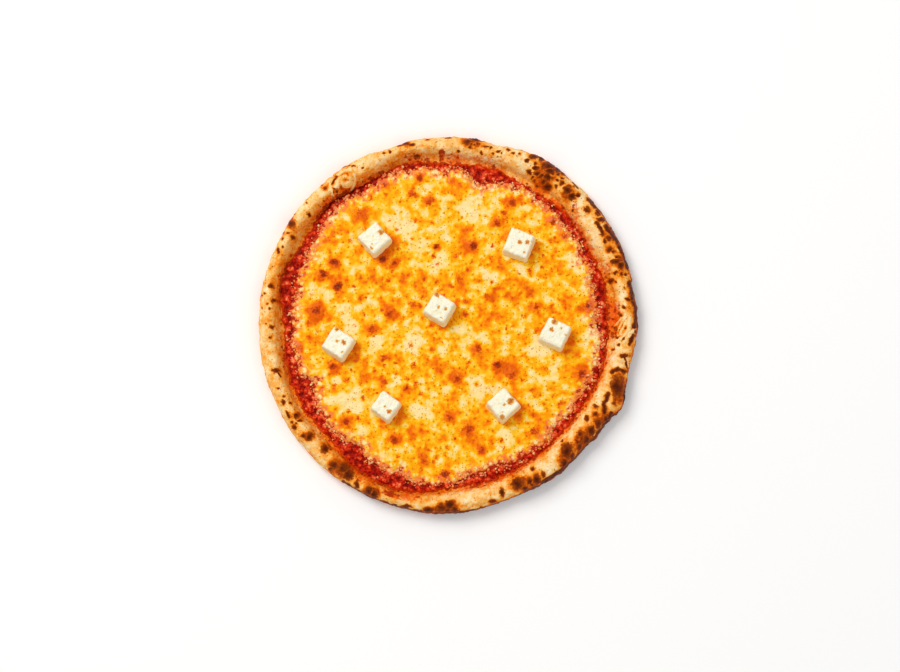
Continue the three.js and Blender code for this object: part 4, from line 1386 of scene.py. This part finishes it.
@dataclass
class Sauce:
    """The layer of tomato sauce, flat under the cheese and lumpy in the ring that shows."""

    dough: Dough
    thickness: float = 1.5
    band: float = 17.0  # width of the ring that shows
    edge_radius: float = 128.0  # about where it ends
    undercut: float = 1.6  # how far the outermost points sink into the dough
    lump: float = 0.8
    lump_count: int = 1200
    lump_radius: tuple[float, float] = (0.8, 3.2)
    plain_radius: float = 120.0  # where the ring starts in the plain section that is spun
    sectors: int = 1400
    band_rings: int = 27
    noise: Noise = field(default_factory=lambda: Noise(23))

    def build(self) -> bpy.types.Object:
        """Models the sauce.

        Returns:
            The finished piece.
        """
        floor = self.dough.floor * MM
        shares = np.concatenate([[0, 1], np.linspace(1, 0, self.band_rings), [0]])
        kind = np.array(["low"] * 2 + ["band"] * self.band_rings + ["mid"])
        start = self.plain_radius * MM
        radii = np.where(kind == "band", start + MM * shares, np.where(shares > 0, start + 2 * MM, 0))
        heights = np.where(kind == "low", floor, floor + self.thickness * MM)
        piece, row = spun("sauce_layer", np.column_stack([radii, heights]), self.sectors)
        angle = np.arctan2(*points_of(piece)[:, 1::-1].T)
        shown, low, share = kind[row] == "band", kind[row] == "low", shares[row]
        ring = in_plan(self.edge_radius * MM, angle)
        tears = 1.4 * self.noise(ring, 7 * MM, 2) + 1.0 * self.noise(ring, 2.6 * MM, 2)
        edge = self.dough.red.at(angle) + MM * tears
        reach = np.where(shown, edge - (1 - share) * self.band * MM, share * (edge - 1.5 * MM))
        flat = in_plan(reach, angle)
        lumps = self._lumps(flat)
        drift = self.noise(flat, 4.5 * MM, 2)
        taper = smoothstep(edge - reach, 0, 3.5 * MM)
        thick = (self.thickness + self.lump * lumps + 0.25 * drift) * (0.22 + 0.78 * taper)
        bed = self.dough.surface(reach, angle)
        flat[:, 2] = np.where(low, floor, bed + np.where(shown, thick, self.thickness) * MM)
        flat[:, 2] -= np.where(shown & (share == 1), self.undercut * MM, 0)
        move_points(piece, flat)
        rim = 1 - smoothstep(edge - reach, 0.5 * MM, 3.6 * MM)
        # Round the valley the sauce by the rim is painted darker and loses its orange-red edge: partly the
        # sauce's own colour, partly painted shade under the rim.
        valley = bell(np.degrees(angle), self.dough.valley, 14)
        paint(piece, "pulp", 0.3 + 0.24 * drift + 0.44 * lumps - 0.5 * valley * rim)
        paint(piece, "thin", rim * (1 - valley))
        smooth(piece)
        piece.data.materials.append(TomatoSauce().material())
        hand_over(piece, "sauce", "tomato_sauce")
        return piece

    def _lumps(self, points: Array) -> Array:
        """The pulp: small domes scattered over the ring that shows.

        Args:
            points: The points of the sauce in plan.

        Returns:
            The height of the pulp, from 0 to about 1.
        """
        draw = np.random.default_rng(7)
        height = np.zeros(len(points))
        ring = Sorted(np.arctan2(points[:, 1], points[:, 0]))
        for _ in range(self.lump_count):
            angle, size = draw.uniform(-math.pi, math.pi), draw.uniform(*self.lump_radius) * MM
            out = float(self.dough.red.at(np.array([angle]))[0]) + draw.uniform(-15, -0.5) * MM
            near = ring.within(angle, 1.3 * size / out)
            away = np.hypot(points[near, 0] - out * math.cos(angle), points[near, 1] - out * math.sin(angle))
            tall = 0.35 + 0.65 * size / (self.lump_radius[1] * MM)
            height[near] = np.maximum(height[near], dome(away, size) * tall)
        return height


# --------------------------------------------------------------------------------------------- cheese


@dataclass(frozen=True)
class CubePlan:
    """One white cube.

    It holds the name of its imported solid, its turn in degrees, its side at the foot in millimetres, and its
    toasted dots as x, y and radius in millimetres from its middle.
    """

    node: str
    turn: float
    side: float
    dots: tuple[tuple[float, float, float], ...]

    def middle(self) -> Array:
        """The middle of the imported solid, in metres."""
        low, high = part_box(self.node)
        return np.array((low + high) / 2)

    def across(self, points: Array) -> Array:
        """Turns plan positions into the cube's own directions, measured from its middle."""
        return turned(points[:, :2] - self.middle()[:2], -self.turn)


# fmt: off
CUBES = (
    CubePlan(
        "cheese_cube_1", 42, 20.4,
        ((-1.4, 1.6, 0.8), (5.6, 4.6, 2.0), (-2.6, -9.4, 1.3), (-2.4, -5.2, 0.8)),
    ),
    CubePlan(
        "cheese_cube_2", -21, 21.4,
        ((0.8, 0.4, 1.7), (7.2, 0.4, 1.8), (4.4, -9.0, 1.2), (0.6, 9.4, 0.8)),
    ),
    CubePlan(
        "cheese_cube_3", -31.5, 20.4,
        ((-2.2, 11.4, 1.9), (-0.6, 0.2, 1.3), (5.8, -1.0, 1.5), (2.0, -9.4, 1.2)),
    ),
    CubePlan(
        "cheese_cube_4", -26.5, 21.0,
        ((-0.6, 9.4, 2.1), (-3.6, 2.6, 1.7), (5.4, 3.8, 1.2), (9.4, -2.0, 1.1)),
    ),
    CubePlan(
        "cheese_cube_5", -33, 20.6,
        ((-0.8, 1.4, 1.3), (5.0, 0.4, 1.8), (-1.0, 12.0, 1.6), (4.0, -8.6, 1.2)),
    ),
    CubePlan(
        "cheese_cube_6", -36, 18.9,
        ((-1.8, 1.6, 0.8), (-0.4, -1.2, 1.0), (3.4, -5.4, 1.8), (-1.6, -5.4, 0.6)),
    ),
    CubePlan(
        "cheese_cube_7", -47.5, 20.6,
        ((6.6, 2.4, 2.5), (1.0, -0.4, 1.4), (-0.8, -11.6, 1.8), (-0.6, -7.6, 1.1)),
    ),
)
# fmt: on


@dataclass
class MeltedLayer:
    """The melted cheese, in mm and degrees."""

    finish: bpy.types.Material
    top: float = 8.7
    bottom: float = 5.4
    lip: float = 0.45  # thickness at the torn edge
    thinning: float = 6.0  # width over which the layer thins towards it
    edge_radius: float = 125.0  # about where the edge runs
    blister: float = 0.2  # rise of a toasted blister, beside its radius
    bubble_count: int = 4200
    bubble_radius: tuple[float, float] = (0.9, 2.3)
    bubble_reach: float = 130.0
    fleck_count: int = 300
    fleck_radius: tuple[float, float] = (0.7, 2.3)
    fleck_heat: tuple[float, float] = (0.35, 0.8)
    fleck_reach: float = 122.0
    warp: float = 1.5  # how far the outlines of the blisters are pushed about
    shadow_and_oil_offset: tuple[float, float] = (5.5, -4.5)  # from a cube to the middle of the orange patch beside it: partly oil, partly painted shadow
    shadow_and_oil_radius: tuple[float, float] = (8.5, 14.0)  # where that patch starts to fade, and where it ends
    curdled_at: float = -69.0  # where the edge lets most of the sauce show
    half_cells: int = 146
    cad_sectors: int = 168
    noise: Noise = field(default_factory=lambda: Noise(31))

    # Toasted blisters: x, y, radius and heat.
    # fmt: off
    toasts: tuple[tuple[float, float, float, float], ...] = (
        (-90.6, 48.9, 4.4, 0.95), (-99.5, 40.2, 3.8, 0.95), (-87.7, 29.9, 5.0, 1.0),
        (-104.8, 10.2, 5.4, 0.85), (-50.7, 111.6, 3.6, 0.85), (-23.0, 116.4, 3.6, 0.85),
        (-29.0, 103.4, 4.4, 0.6), (-69.3, 86.9, 8.0, 0.45), (-14.8, 97.4, 4.0, 0.7), (38.6, 79.9, 4.0, 0.7),
        (19.1, 62.0, 4.4, 0.95), (-10.1, 61.5, 2.4, 0.95), (8.9, 36.2, 4.6, 0.5), (-46.7, 7.8, 4.4, 0.75),
        (-60.9, -4.0, 4.4, 0.65), (-91.7, -33.7, 4.2, 0.8), (-51.4, -26.7, 4.0, 0.6),
        (-51.4, -45.9, 3.6, 0.6), (-33.7, -51.4, 2.4, 0.8), (-81.1, -77.4, 4.0, 0.85),
        (6.5, -43.1, 4.6, 0.75), (38.6, -32.4, 4.0, 0.9), (49.8, -40.8, 5.0, 0.7), (23.1, -19.5, 4.4, 0.7),
        (69.5, 13.4, 4.0, 0.7), (111.0, 14.6, 4.4, 0.95), (105.1, -39.8, 4.8, 0.95),
        (67.1, -84.6, 4.4, 0.7), (16.0, -83.4, 5.6, 0.7), (0.8, -73.8, 3.6, 0.75),
        (-43.2, -91.5, 4.4, 0.85), (-3.0, -118.5, 4.2, 0.9), (25.5, -99.6, 3.6, 0.65),
        (-121.4, -16.7, 4.0, 0.8), (50.5, 96.4, 4.4, 0.75), (82.3, 82.0, 4.4, 0.8), (-51.7, 51.6, 4.0, 1.0),
        (-43.2, 48.0, 2.6, 0.9), (44.0, 88.0, 3.4, 0.6), (92.0, 70.0, 3.8, 0.7), (60.0, -106.0, 4.6, 0.8),
        (44.0, -110.0, 4.4, 0.75), (76.0, -94.0, 3.8, 0.7), (-28.0, 15.0, 3.4, 0.55),
        (-13.0, -20.0, 3.0, 0.5), (30.0, 22.0, 3.2, 0.55), (64.0, 42.0, 3.0, 0.6),
        (-20.0, -108.0, 3.6, 0.6), (88.0, -62.0, 3.2, 0.6), (-70.0, 20.0, 2.8, 0.5),
    )
    # Patches of orange cheese: x, y and radius.
    orange: tuple[tuple[float, float, float], ...] = (
        (-69, 87, 8), (4, 110, 9), (56, 25, 13), (-28, 35, 11), (-46, 14, 8), (-62, 38, 7), (14, 66, 9),
        (40, 48, 9), (84, 44, 10), (-104, 10, 9), (30, 5, 12), (-6, -34, 10), (-62, -38, 9), (48, -38, 9),
        (100, -30, 8), (75, -75, 8), (0, -70, 9), (-30, -85, 9), (15, -92, 9), (-95, 65, 6), (98, 12, 8),
    )
    # Pale stretches: x, y and radius.
    pale: tuple[tuple[float, float, float], ...] = (
        (-38, 80, 9), (-8, 50, 7), (18, 92, 8), (-96, 24, 7), (-78, -2, 8), (58, 44, 7), (33, 37, 7),
        (-28, -14, 8), (22, -48, 8), (70, -20, 7), (-75, -62, 9), (-20, -70, 7), (45, -92, 8), (100, 50, 8),
        (114, -8, 6), (-58, -14, 6),
    )
    # fmt: on

    def __post_init__(self) -> None:
        """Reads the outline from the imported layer."""
        self.edge = Round.of_node(corners_of("melted_cheese"), self.cad_sectors)

    def build(self) -> bpy.types.Object:
        """Models the layer: a grid laid out as a disc, raised, and closed by a skirt and an underside.

        Returns:
            The finished piece.
        """
        start_clean()
        cells = 2 * self.half_cells
        bpy.ops.mesh.primitive_grid_add(x_subdivisions=cells, y_subdivisions=cells, size=2)
        piece = named("cheese_layer")
        square = points_of(piece)
        share, angle = disc_of_square(square[:, 0], square[:, 1])
        flat, inward = self._laid_out(share, angle)
        warped = (flat + self.warp * MM * self.noise.push(flat, 5 * MM, 3, 5)) * (1, 1, 0)
        bubbles = self._bubbles(flat)
        move_points(piece, flat + self._height(flat, warped, inward, bubbles)[:, None] * (0, 0, 1))
        self._colour(piece, flat, warped, inward, bubbles)
        self._close(piece)
        smooth(piece)
        piece.data.materials.append(self.finish)
        hand_over(piece, "melted_cheese", "melted_cheese")
        return piece

    def ragged(self, angle: Array) -> Array:
        """The torn outline of the layer at each angle, in metres."""
        ring = in_plan(self.edge_radius * MM, angle)
        tears = 1.7 * self.noise(ring, 7 * MM) + 1.3 * self.noise(ring + 1, 3 * MM, 2)
        return self.edge.at(angle) + MM * (tears - 0.3)

    def _laid_out(self, share: Array, angle: Array) -> tuple[Array, Array]:
        """Lays the grid out as a disc.

        Args:
            share: How far each point is from the middle to the edge.
            angle: Its angle.

        Returns:
            The points, and how far each is in from the edge, in metres.
        """
        mean = float(np.mean(self.edge.values))
        edge = self.ragged(angle)
        reach = share * mean + (edge - mean) * smoothstep(share, 0.6, 1) * share
        return in_plan(reach, angle), edge - reach

    def _height(self, flat: Array, warped: Array, inward: Array, bubbles: Array) -> Array:
        """The height of the layer's top.

        Args:
            flat: Its points in plan.
            warped: The same points, pushed about.
            inward: How far each is in from the edge.
            bubbles: How high each stands on a bubble.

        Returns:
            Heights in metres.
        """
        swells = 0.7 * self.noise(flat, 18 * MM) + 0.45 * self.noise(flat + 1, 8 * MM)
        ripple = 0.3 * self.noise(flat + 2, 3.6 * MM, 2)
        blisters = np.zeros(len(flat))
        for x, y, radius, _ in self.toasts:
            strength = Spot(x, y, radius).strength(warped)
            blisters = np.maximum(blisters, self.blister * radius * dome(1 - strength, 0.85))
        full = self.top - 0.25 + swells + ripple + 0.45 * bubbles + blisters
        thin = 1 - (1 - np.clip(inward / (self.thinning * MM), 0, 1)) ** 1.8
        thin *= 0.8 + 0.2 * smoothstep(inward, 3 * MM, 14 * MM)
        low = self.bottom + self.lip + 0.6 * bubbles * smoothstep(inward, 0, 1.5 * MM)
        height = (low + (full - low) * thin) * MM
        for cube in CUBES:
            local = np.abs(cube.across(flat))
            outside = np.linalg.norm(np.maximum(local - cube.side / 2 * MM, 0), axis=1)
            height += 0.5 * MM * dome(outside, 3.0 * MM) * (outside > 0)
            pressed = np.max(local, axis=1) < (cube.side / 2 - 1.6) * MM
            height = np.where(pressed, np.minimum(height, (self.top - 2.4) * MM), height)
        return height

    def _bubbles(self, flat: Array) -> Array:
        """Small round bubbles all over.

        Args:
            flat: The points in plan.

        Returns:
            Their height, from 0 to 1.
        """
        draw = np.random.default_rng(3)
        height = np.zeros(len(flat))
        columns = Sorted(flat[:, 0])
        for _ in range(self.bubble_count):
            angle, reach = draw.uniform(0, TAU), self.bubble_reach * MM * math.sqrt(draw.random())
            size = draw.uniform(*self.bubble_radius) * MM
            x, y = reach * math.cos(angle), reach * math.sin(angle)
            near = columns.within(x, size)
            away = np.hypot(flat[near, 0] - x, flat[near, 1] - y)
            tall = 0.3 + 0.7 * size / (self.bubble_radius[1] * MM)
            height[near] = np.maximum(height[near], dome(away, size) * tall)
        return height

    def _close(self, piece: bpy.types.Object) -> None:
        """Gives the sheet a skirt and a flat underside."""
        bpy.ops.object.mode_set(mode="EDIT")
        bpy.ops.mesh.select_mode(type="EDGE")
        bpy.ops.mesh.select_all(action="DESELECT")
        bpy.ops.mesh.select_non_manifold()
        bpy.ops.mesh.extrude_edges_move()
        bpy.ops.object.mode_set(mode="OBJECT")
        points = points_of(piece)
        picked = np.zeros(len(points), bool)
        piece.data.vertices.foreach_get("select", picked)
        points[picked, 2] = self.bottom * MM
        move_points(piece, points)
        bpy.ops.object.mode_set(mode="EDIT")
        bpy.ops.mesh.edge_face_add()
        bpy.ops.mesh.select_all(action="SELECT")
        bpy.ops.mesh.normals_make_consistent(inside=False)
        bpy.ops.object.mode_set(mode="OBJECT")

    def _colour(
        self, piece: bpy.types.Object, flat: Array, warped: Array, inward: Array, bubbles: Array
    ) -> None:
        """Stores where the cheese is orange, toasted, or lets the sauce show.

        Args:
            piece: The layer.
            flat: Its points in plan.
            warped: The same points, pushed about.
            inward: How far each is in from the edge.
            bubbles: How high each stands on a bubble.
        """
        toast, halo = np.zeros(len(flat)), np.zeros(len(flat))
        for x, y, radius, heat in self.toasts:
            spot = Spot(x, y, 0.93 * radius).strength(warped)
            brown = 0.3 * smoothstep(spot, 0.05, 0.5) + 0.8 * smoothstep(spot, 0.4, 0.9)
            toast = np.maximum(toast, brown * heat)
            halo = np.maximum(halo, Spot(x, y, 1.3 * radius).strength(warped) * heat)
        cheddar = 0.5 + 0.14 * self.noise(flat + 8, 17 * MM, 2) + 0.33 * self.noise(flat + 10, 8.0 * MM, 2)
        cheddar += 0.08 * self.noise(flat + 11, 3.2 * MM) - 0.12 * bubbles
        draw, columns = np.random.default_rng(8), Sorted(flat[:, 0])
        for _ in range(self.fleck_count):
            x, y = self.fleck_reach * np.sqrt(draw.random()) * direction(draw.uniform(0, TAU))
            radius, heat = draw.uniform(*self.fleck_radius), draw.uniform(*self.fleck_heat)
            near = columns.within(x * MM, 2.6 * radius * MM)
            fleck = Spot(x, y, radius).strength(warped[near])
            toast[near] = np.maximum(toast[near], fleck * heat)
            halo[near] = np.maximum(halo[near], 0.7 * Spot(x, y, 1.4 * radius).strength(warped[near]) * heat)
        broad = flat + 2.5 * MM * self.noise.push(flat, 9 * MM, 2, 12)
        for x, y, radius in self.orange:
            cheddar += 0.2 * smoothstep(Spot(x, y, radius).strength(broad), 0.2, 0.8)
        for x, y, radius in self.pale:
            cheddar -= 0.3 * smoothstep(Spot(x, y, radius).strength(broad), 0.2, 0.8)
        cheddar += 0.36 * smoothstep(halo, 0.1, 0.6)
        cheddar -= 0.25 * bubbles * (1 - smoothstep(inward, 4 * MM, 12 * MM))
        # Beside each cube, to its lower right, the cheese is painted more orange and toasted: partly oil,
        # partly the cube's painted shadow.
        for cube in CUBES:
            away = warped[:, :2] - cube.middle()[:2] - MM * np.array(self.shadow_and_oil_offset)
            start, stop = self.shadow_and_oil_radius
            beside = 1 - smoothstep(np.hypot(away[:, 0], away[:, 1]), start * MM, stop * MM)
            cheddar += 0.3 * beside
            toast = np.maximum(toast, 0.26 * beside)
        right = flat[:, 0] / (self.edge_radius * MM)
        bare = (0.84 - 0.04 * right) * (1 - inward / (11.5 * MM)) - 0.55 * bubbles
        bare += 0.5 * self.noise(flat + 9, 5.0 * MM, 3)
        curdled = bell(np.degrees(np.arctan2(flat[:, 1], flat[:, 0])), self.curdled_at, 8)
        bare += curdled * (0.55 - inward / (24 * MM))
        bare = bare - 0.12 - 0.6 * smoothstep(inward, 12 * MM, 20 * MM)
        paint(piece, "cheddar", np.clip(cheddar, 0, 1.1))
        paint(piece, "toast", toast)
        paint(piece, "sauce", np.clip(bare, -1, 1.2))


@dataclass
class Crumbs:
    """Small grains of cheese that lie on the sauce along the edge of the layer."""

    dough: Dough
    layer: MeltedLayer
    count: int = 1800
    clumps: int = 460
    past_edge: tuple[float, float] = (-0.3, 2.0)  # mean and spread of the clumps past the edge, in mm
    along_clump: float = 1.7  # spread of the grains of a clump along the edge, in mm
    across_clump: float = 1.3  # and across it
    sunk: float = 0.35  # share of its half height by which a grain is sunk
    pale_share: float = 0.12
    noise: Noise = field(default_factory=lambda: Noise(47))

    def build(self, beds: tuple[bpy.types.Object, ...]) -> bpy.types.Object:
        """Models one grain, copies it and lays the copies on what is under them.

        Args:
            beds: The pieces that the grains may lie on.

        Returns:
            The finished piece.
        """
        start_clean()
        bpy.ops.mesh.primitive_uv_sphere_add(segments=8, ring_count=5, radius=1)
        piece = named("cheese_crumbs")
        grain = points_of(piece)
        faces = [tuple(face.vertices) for face in piece.data.polygons]
        draw = np.random.default_rng(19)
        middle, past = self._places(draw)
        shape, turn = self._shapes(draw)
        middle[:, 2] = self._bed(middle, beds) - self.sunk * shape[:, 2]
        rough = grain[None] * (1 + 0.16 * draw.standard_normal((self.count, len(grain), 1)).clip(-1.5, 1.5))
        local = rough * shape[:, None, :]
        c, s = np.cos(turn)[:, None], np.sin(turn)[:, None]
        x, y = local[..., 0] * c - local[..., 1] * s, local[..., 0] * s + local[..., 1] * c
        points = (np.stack([x, y, local[..., 2]], axis=2) + middle[:, None]).reshape(-1, 3)
        copies = [tuple(v + k * len(grain) for v in face) for k in range(self.count) for face in faces]
        piece.data.clear_geometry()
        piece.data.from_pydata(points.tolist(), [], copies)
        self._colour(piece, draw, past, len(grain))
        smooth(piece)
        piece.data.materials.append(self.layer.finish)
        hand_over(piece, "melted_cheese")
        return piece

    def _places(self, draw: np.random.Generator) -> tuple[Array, Array]:
        """Scatters the grains in clumps along the edge of the cheese.

        Args:
            draw: The random draws.

        Returns:
            Their middles in plan, and how far each is past the cheese's edge, in mm.
        """
        clump = draw.uniform(-math.pi, math.pi, self.clumps)
        out = draw.normal(*self.past_edge, self.clumps)
        mine = draw.integers(0, self.clumps, self.count)
        angle = clump[mine] + draw.normal(0, self.along_clump, self.count) / self.layer.edge_radius
        edge, red = self.layer.ragged(angle), self.dough.red.at(angle)
        reach = edge + MM * (out[mine] + draw.normal(0, self.across_clump, self.count))
        reach = np.clip(reach, edge - 4 * MM, red - draw.uniform(0.5, 4, self.count) * MM)
        return in_plan(reach, angle), (reach - edge) / MM

    def _shapes(self, draw: np.random.Generator) -> tuple[Array, Array]:
        """Draws the half length, half width and half height of each grain, in metres, and its turn."""
        size = MM * draw.gamma(4.0, 0.16, self.count).clip(0.3, 1.15)
        spread = draw.uniform(0.85, 1.2, self.count)
        shape = np.column_stack([size * spread, size / spread, size * draw.uniform(0.5, 0.75, self.count)])
        return shape, draw.uniform(0, TAU, self.count)

    def _colour(self, piece: bpy.types.Object, draw: np.random.Generator, past: Array, corners: int) -> None:
        """Stores how orange, toasted and stained by the sauce each grain is.

        Args:
            piece: The grains.
            draw: The random draws.
            past: How far each grain is past the cheese's edge, in mm.
            corners: How many points a grain has.
        """
        pale = draw.random(self.count) < self.pale_share
        per_grain = {
            "cheddar": np.where(pale, 0.15, draw.uniform(0.2, 0.55, self.count)),
            "toast": draw.uniform(0.0, 0.18, self.count),
            "sauce": np.where(pale, 0.25, draw.uniform(0.38, 0.62, self.count)) + 0.03 * past,
        }
        for layer, values in per_grain.items():
            paint(piece, layer, np.repeat(np.clip(values, 0, 0.85), corners))

    def _bed(self, middle: Array, beds: tuple[bpy.types.Object, ...]) -> Array:
        """The height of whatever lies highest under each place.

        Args:
            middle: The places.
            beds: The pieces that may lie there.

        Returns:
            Heights in metres.
        """
        trees = []
        for bed in beds:
            faces = [tuple(face.vertices) for face in bed.data.polygons]
            trees.append(BVHTree.FromPolygons(points_of(bed).tolist(), faces))
        height = np.zeros(len(middle))
        for i, (x, y, _) in enumerate(middle):
            hits = [tree.ray_cast((x, y, 0.05), (0, 0, -1))[0] for tree in trees]
            height[i] = max(hit.z for hit in hits if hit)
        return height


@dataclass
class BrinedCube:
    """One of the white cubes, in mm."""

    plan: CubePlan
    cuts: int = 27
    rounding: float = 1.7  # radius of its edges
    taper: float = 0.88  # width of its top beside its foot
    lean: tuple[float, float] = (-0.3, 1.8)  # how far its top is past its foot
    crumble: float = 0.55
    pit: float = 0.8

    def build(self, seed: int, finish: bpy.types.Material) -> bpy.types.Object:
        """Models the cube: cut up, rounded, crumbled, tapered, leant over and set in place.

        Args:
            seed: The seed of its crumbling.
            finish: Its material.

        Returns:
            The finished piece.
        """
        low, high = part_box(self.plan.node)
        tall = high.z - low.z
        start_clean()
        bpy.ops.mesh.primitive_cube_add(size=1)
        piece = named(f"brined_{self.plan.node}")
        bpy.ops.object.mode_set(mode="EDIT")
        bpy.ops.mesh.select_all(action="SELECT")
        bpy.ops.mesh.subdivide(number_cuts=self.cuts)
        bpy.ops.object.mode_set(mode="OBJECT")
        size = np.array([self.plan.side * MM, self.plan.side * MM, tall])
        points = points_of(piece) * size
        held = np.clip(points, -size / 2 + self.rounding * MM, size / 2 - self.rounding * MM)
        away = points - held
        length = np.maximum(np.linalg.norm(away, axis=1), 1e-9)
        move_points(piece, held + away / length[:, None] * self.rounding * MM)
        noise = Noise(100 + seed)
        points = points_of(piece)
        crumble = self.crumble * noise(points, 7 * MM, 2) + 0.28 * noise(points + 1, 2.4 * MM, 2)
        pits = smoothstep(noise(points + 2, 3.2 * MM), 0.25, 0.8)
        swell(piece, MM * (crumble + 0.25 - self.pit * pits))
        points = points_of(piece)
        self._colour(piece, points, size, pits)
        up = np.clip(points[:, 2] / tall + 0.5, 0, 1)
        points[:, :2] *= (1 + (self.taper - 1) * up)[:, None]
        points[:, :2] = turned(points, self.plan.turn) + (up - 0.5)[:, None] * np.array(self.lean) * MM
        move_points(piece, points + self.plan.middle())
        smooth(piece)
        piece.data.materials.append(finish)
        hand_over(piece, "white_cheese", self.plan.node)
        return piece

    def _colour(self, piece: bpy.types.Object, points: Array, size: Array, pits: Array) -> None:
        """Stores the cube's toasted dots, and its creamier sides and pits.

        Args:
            piece: The cube.
            points: Its points before it is turned and set in place.
            size: Its size in metres.
            pits: How deep in a pit each point lies.
        """
        x, y = turned(points, self.plan.turn).T
        depth = np.maximum(size[2] / 2 - 2 * MM - points[:, 2], 0)
        noise = Noise(61)
        bend = 0.7 * MM * np.array([noise(points + self.plan.turn + k, 2.6 * MM, 2) for k in (0, 1)])
        toast = np.zeros(len(points))
        for dot_x, dot_y, radius in self.plan.dots:
            away = np.hypot(x - dot_x * MM + bend[0], y - dot_y * MM + bend[1]) + 2 * depth
            heat = np.clip(radius / 2.1, 0.4, 0.9)
            toast = np.maximum(toast, heat * np.clip(1 - away / (2 * radius * MM), 0, 1))
        paint(piece, "toast", toast)
        # The sides are painted creamier and darker than the top, partly as the cheese's own tint and partly
        # as painted shade; the pits are creamier too.
        side = smoothstep(size[2] / 2 - points[:, 2], 1.0 * MM, 4.5 * MM)
        paint(piece, "side", 0.12 + 0.75 * side + 0.4 * pits)


# ---------------------------------------------------------------------------------------------- stage


@dataclass(frozen=True)
class Lamp:
    """A square light that faces the middle: its place and side in metres, its power in watts, its colour."""

    name: str
    place: tuple[float, float, float]
    side: float
    power: float
    tint: tuple[float, float, float]

    def hang(self) -> None:
        """Hangs the light."""
        lamp = bpy.data.lights.new(self.name, "AREA")
        lamp.size, lamp.energy, lamp.color = self.side, self.power, self.tint
        holder = bpy.data.objects.new(self.name, lamp)
        holder.location = self.place
        x, y, z = self.place
        holder.rotation_euler = (math.atan2(math.hypot(x, y), z), 0, math.atan2(y, x) + math.pi / 2)
        bpy.context.scene.collection.objects.link(holder)


@dataclass(frozen=True)
class Studio:
    """A pale floor, soft light from the upper left, and a camera that looks down as the photograph does."""

    mm_per_pixel: float = 0.7895
    frame_width: int = 900
    aim: tuple[float, float, float] = (1.0, -9.55, 10.0)
    distance: float = 2.0
    tilt: float = 3.5
    sensor: float = 36.0
    floor_side: float = 12.0
    sky: float = 0.49
    floor: Tint = Tint(250, 250, 250)
    lamps: tuple[Lamp, ...] = (
        Lamp("key", (-1.4, 1.3, 2.25), 1.5, 57.0, (1.0, 0.98, 0.95)),
        Lamp("fill", (1.8, -1.2, 2.2), 3.2, 23.5, (1.0, 0.99, 0.97)),
    )

    def build(self) -> None:
        """Puts up the floor, the lights and the camera."""
        self._floor()
        for lamp in self.lamps:
            lamp.hang()
        world = bpy.data.worlds.new("studio")
        world.use_nodes = True
        sky = world.node_tree.nodes["Background"].inputs
        sky["Color"].default_value = (1.0, 1.0, 1.0, 1.0)
        sky["Strength"].default_value = self.sky
        bpy.context.scene.world = world
        bpy.context.scene.view_settings.view_transform = "Standard"
        self._camera()

    def _floor(self) -> None:
        """Lays the floor."""
        start_clean()
        bpy.ops.mesh.primitive_plane_add(size=self.floor_side)
        floor = named("floor")
        floor.data.materials.append(Recipe("pale_floor").finish(self.floor, 0.9))

    def _camera(self) -> None:
        """Sets the camera up."""
        width = self.mm_per_pixel * self.frame_width * MM
        camera = bpy.data.cameras.new("camera")
        camera.sensor_width = self.sensor
        camera.lens = self.sensor * self.distance / width
        holder = bpy.data.objects.new("camera", camera)
        turn = math.radians(self.tilt)
        aim = [length * MM for length in self.aim]
        holder.location = (
            aim[0],
            aim[1] - self.distance * math.sin(turn),
            aim[2] + self.distance * math.cos(turn),
        )
        holder.rotation_euler = (turn, 0, 0)
        bpy.context.scene.collection.objects.link(holder)
        bpy.context.scene.camera = holder


def main() -> None:
    """Builds the pizza and its studio."""
    logging.basicConfig(level=logging.INFO, format="%(name)s %(relativeCreated)d ms: %(message)s")
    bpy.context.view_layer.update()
    Studio().build()
    dough = Dough()
    crust = dough.build()
    sauce = Sauce(dough).build()
    layer = MeltedLayer(MeltedCheese().material())
    melted = layer.build()
    Crumbs(dough, layer).build((crust, sauce, melted))
    brined = BrinedCheese().material()
    for seed, plan in enumerate(CUBES):
        BrinedCube(plan).build(seed, brined)


if __name__ == "__main__":
    main()
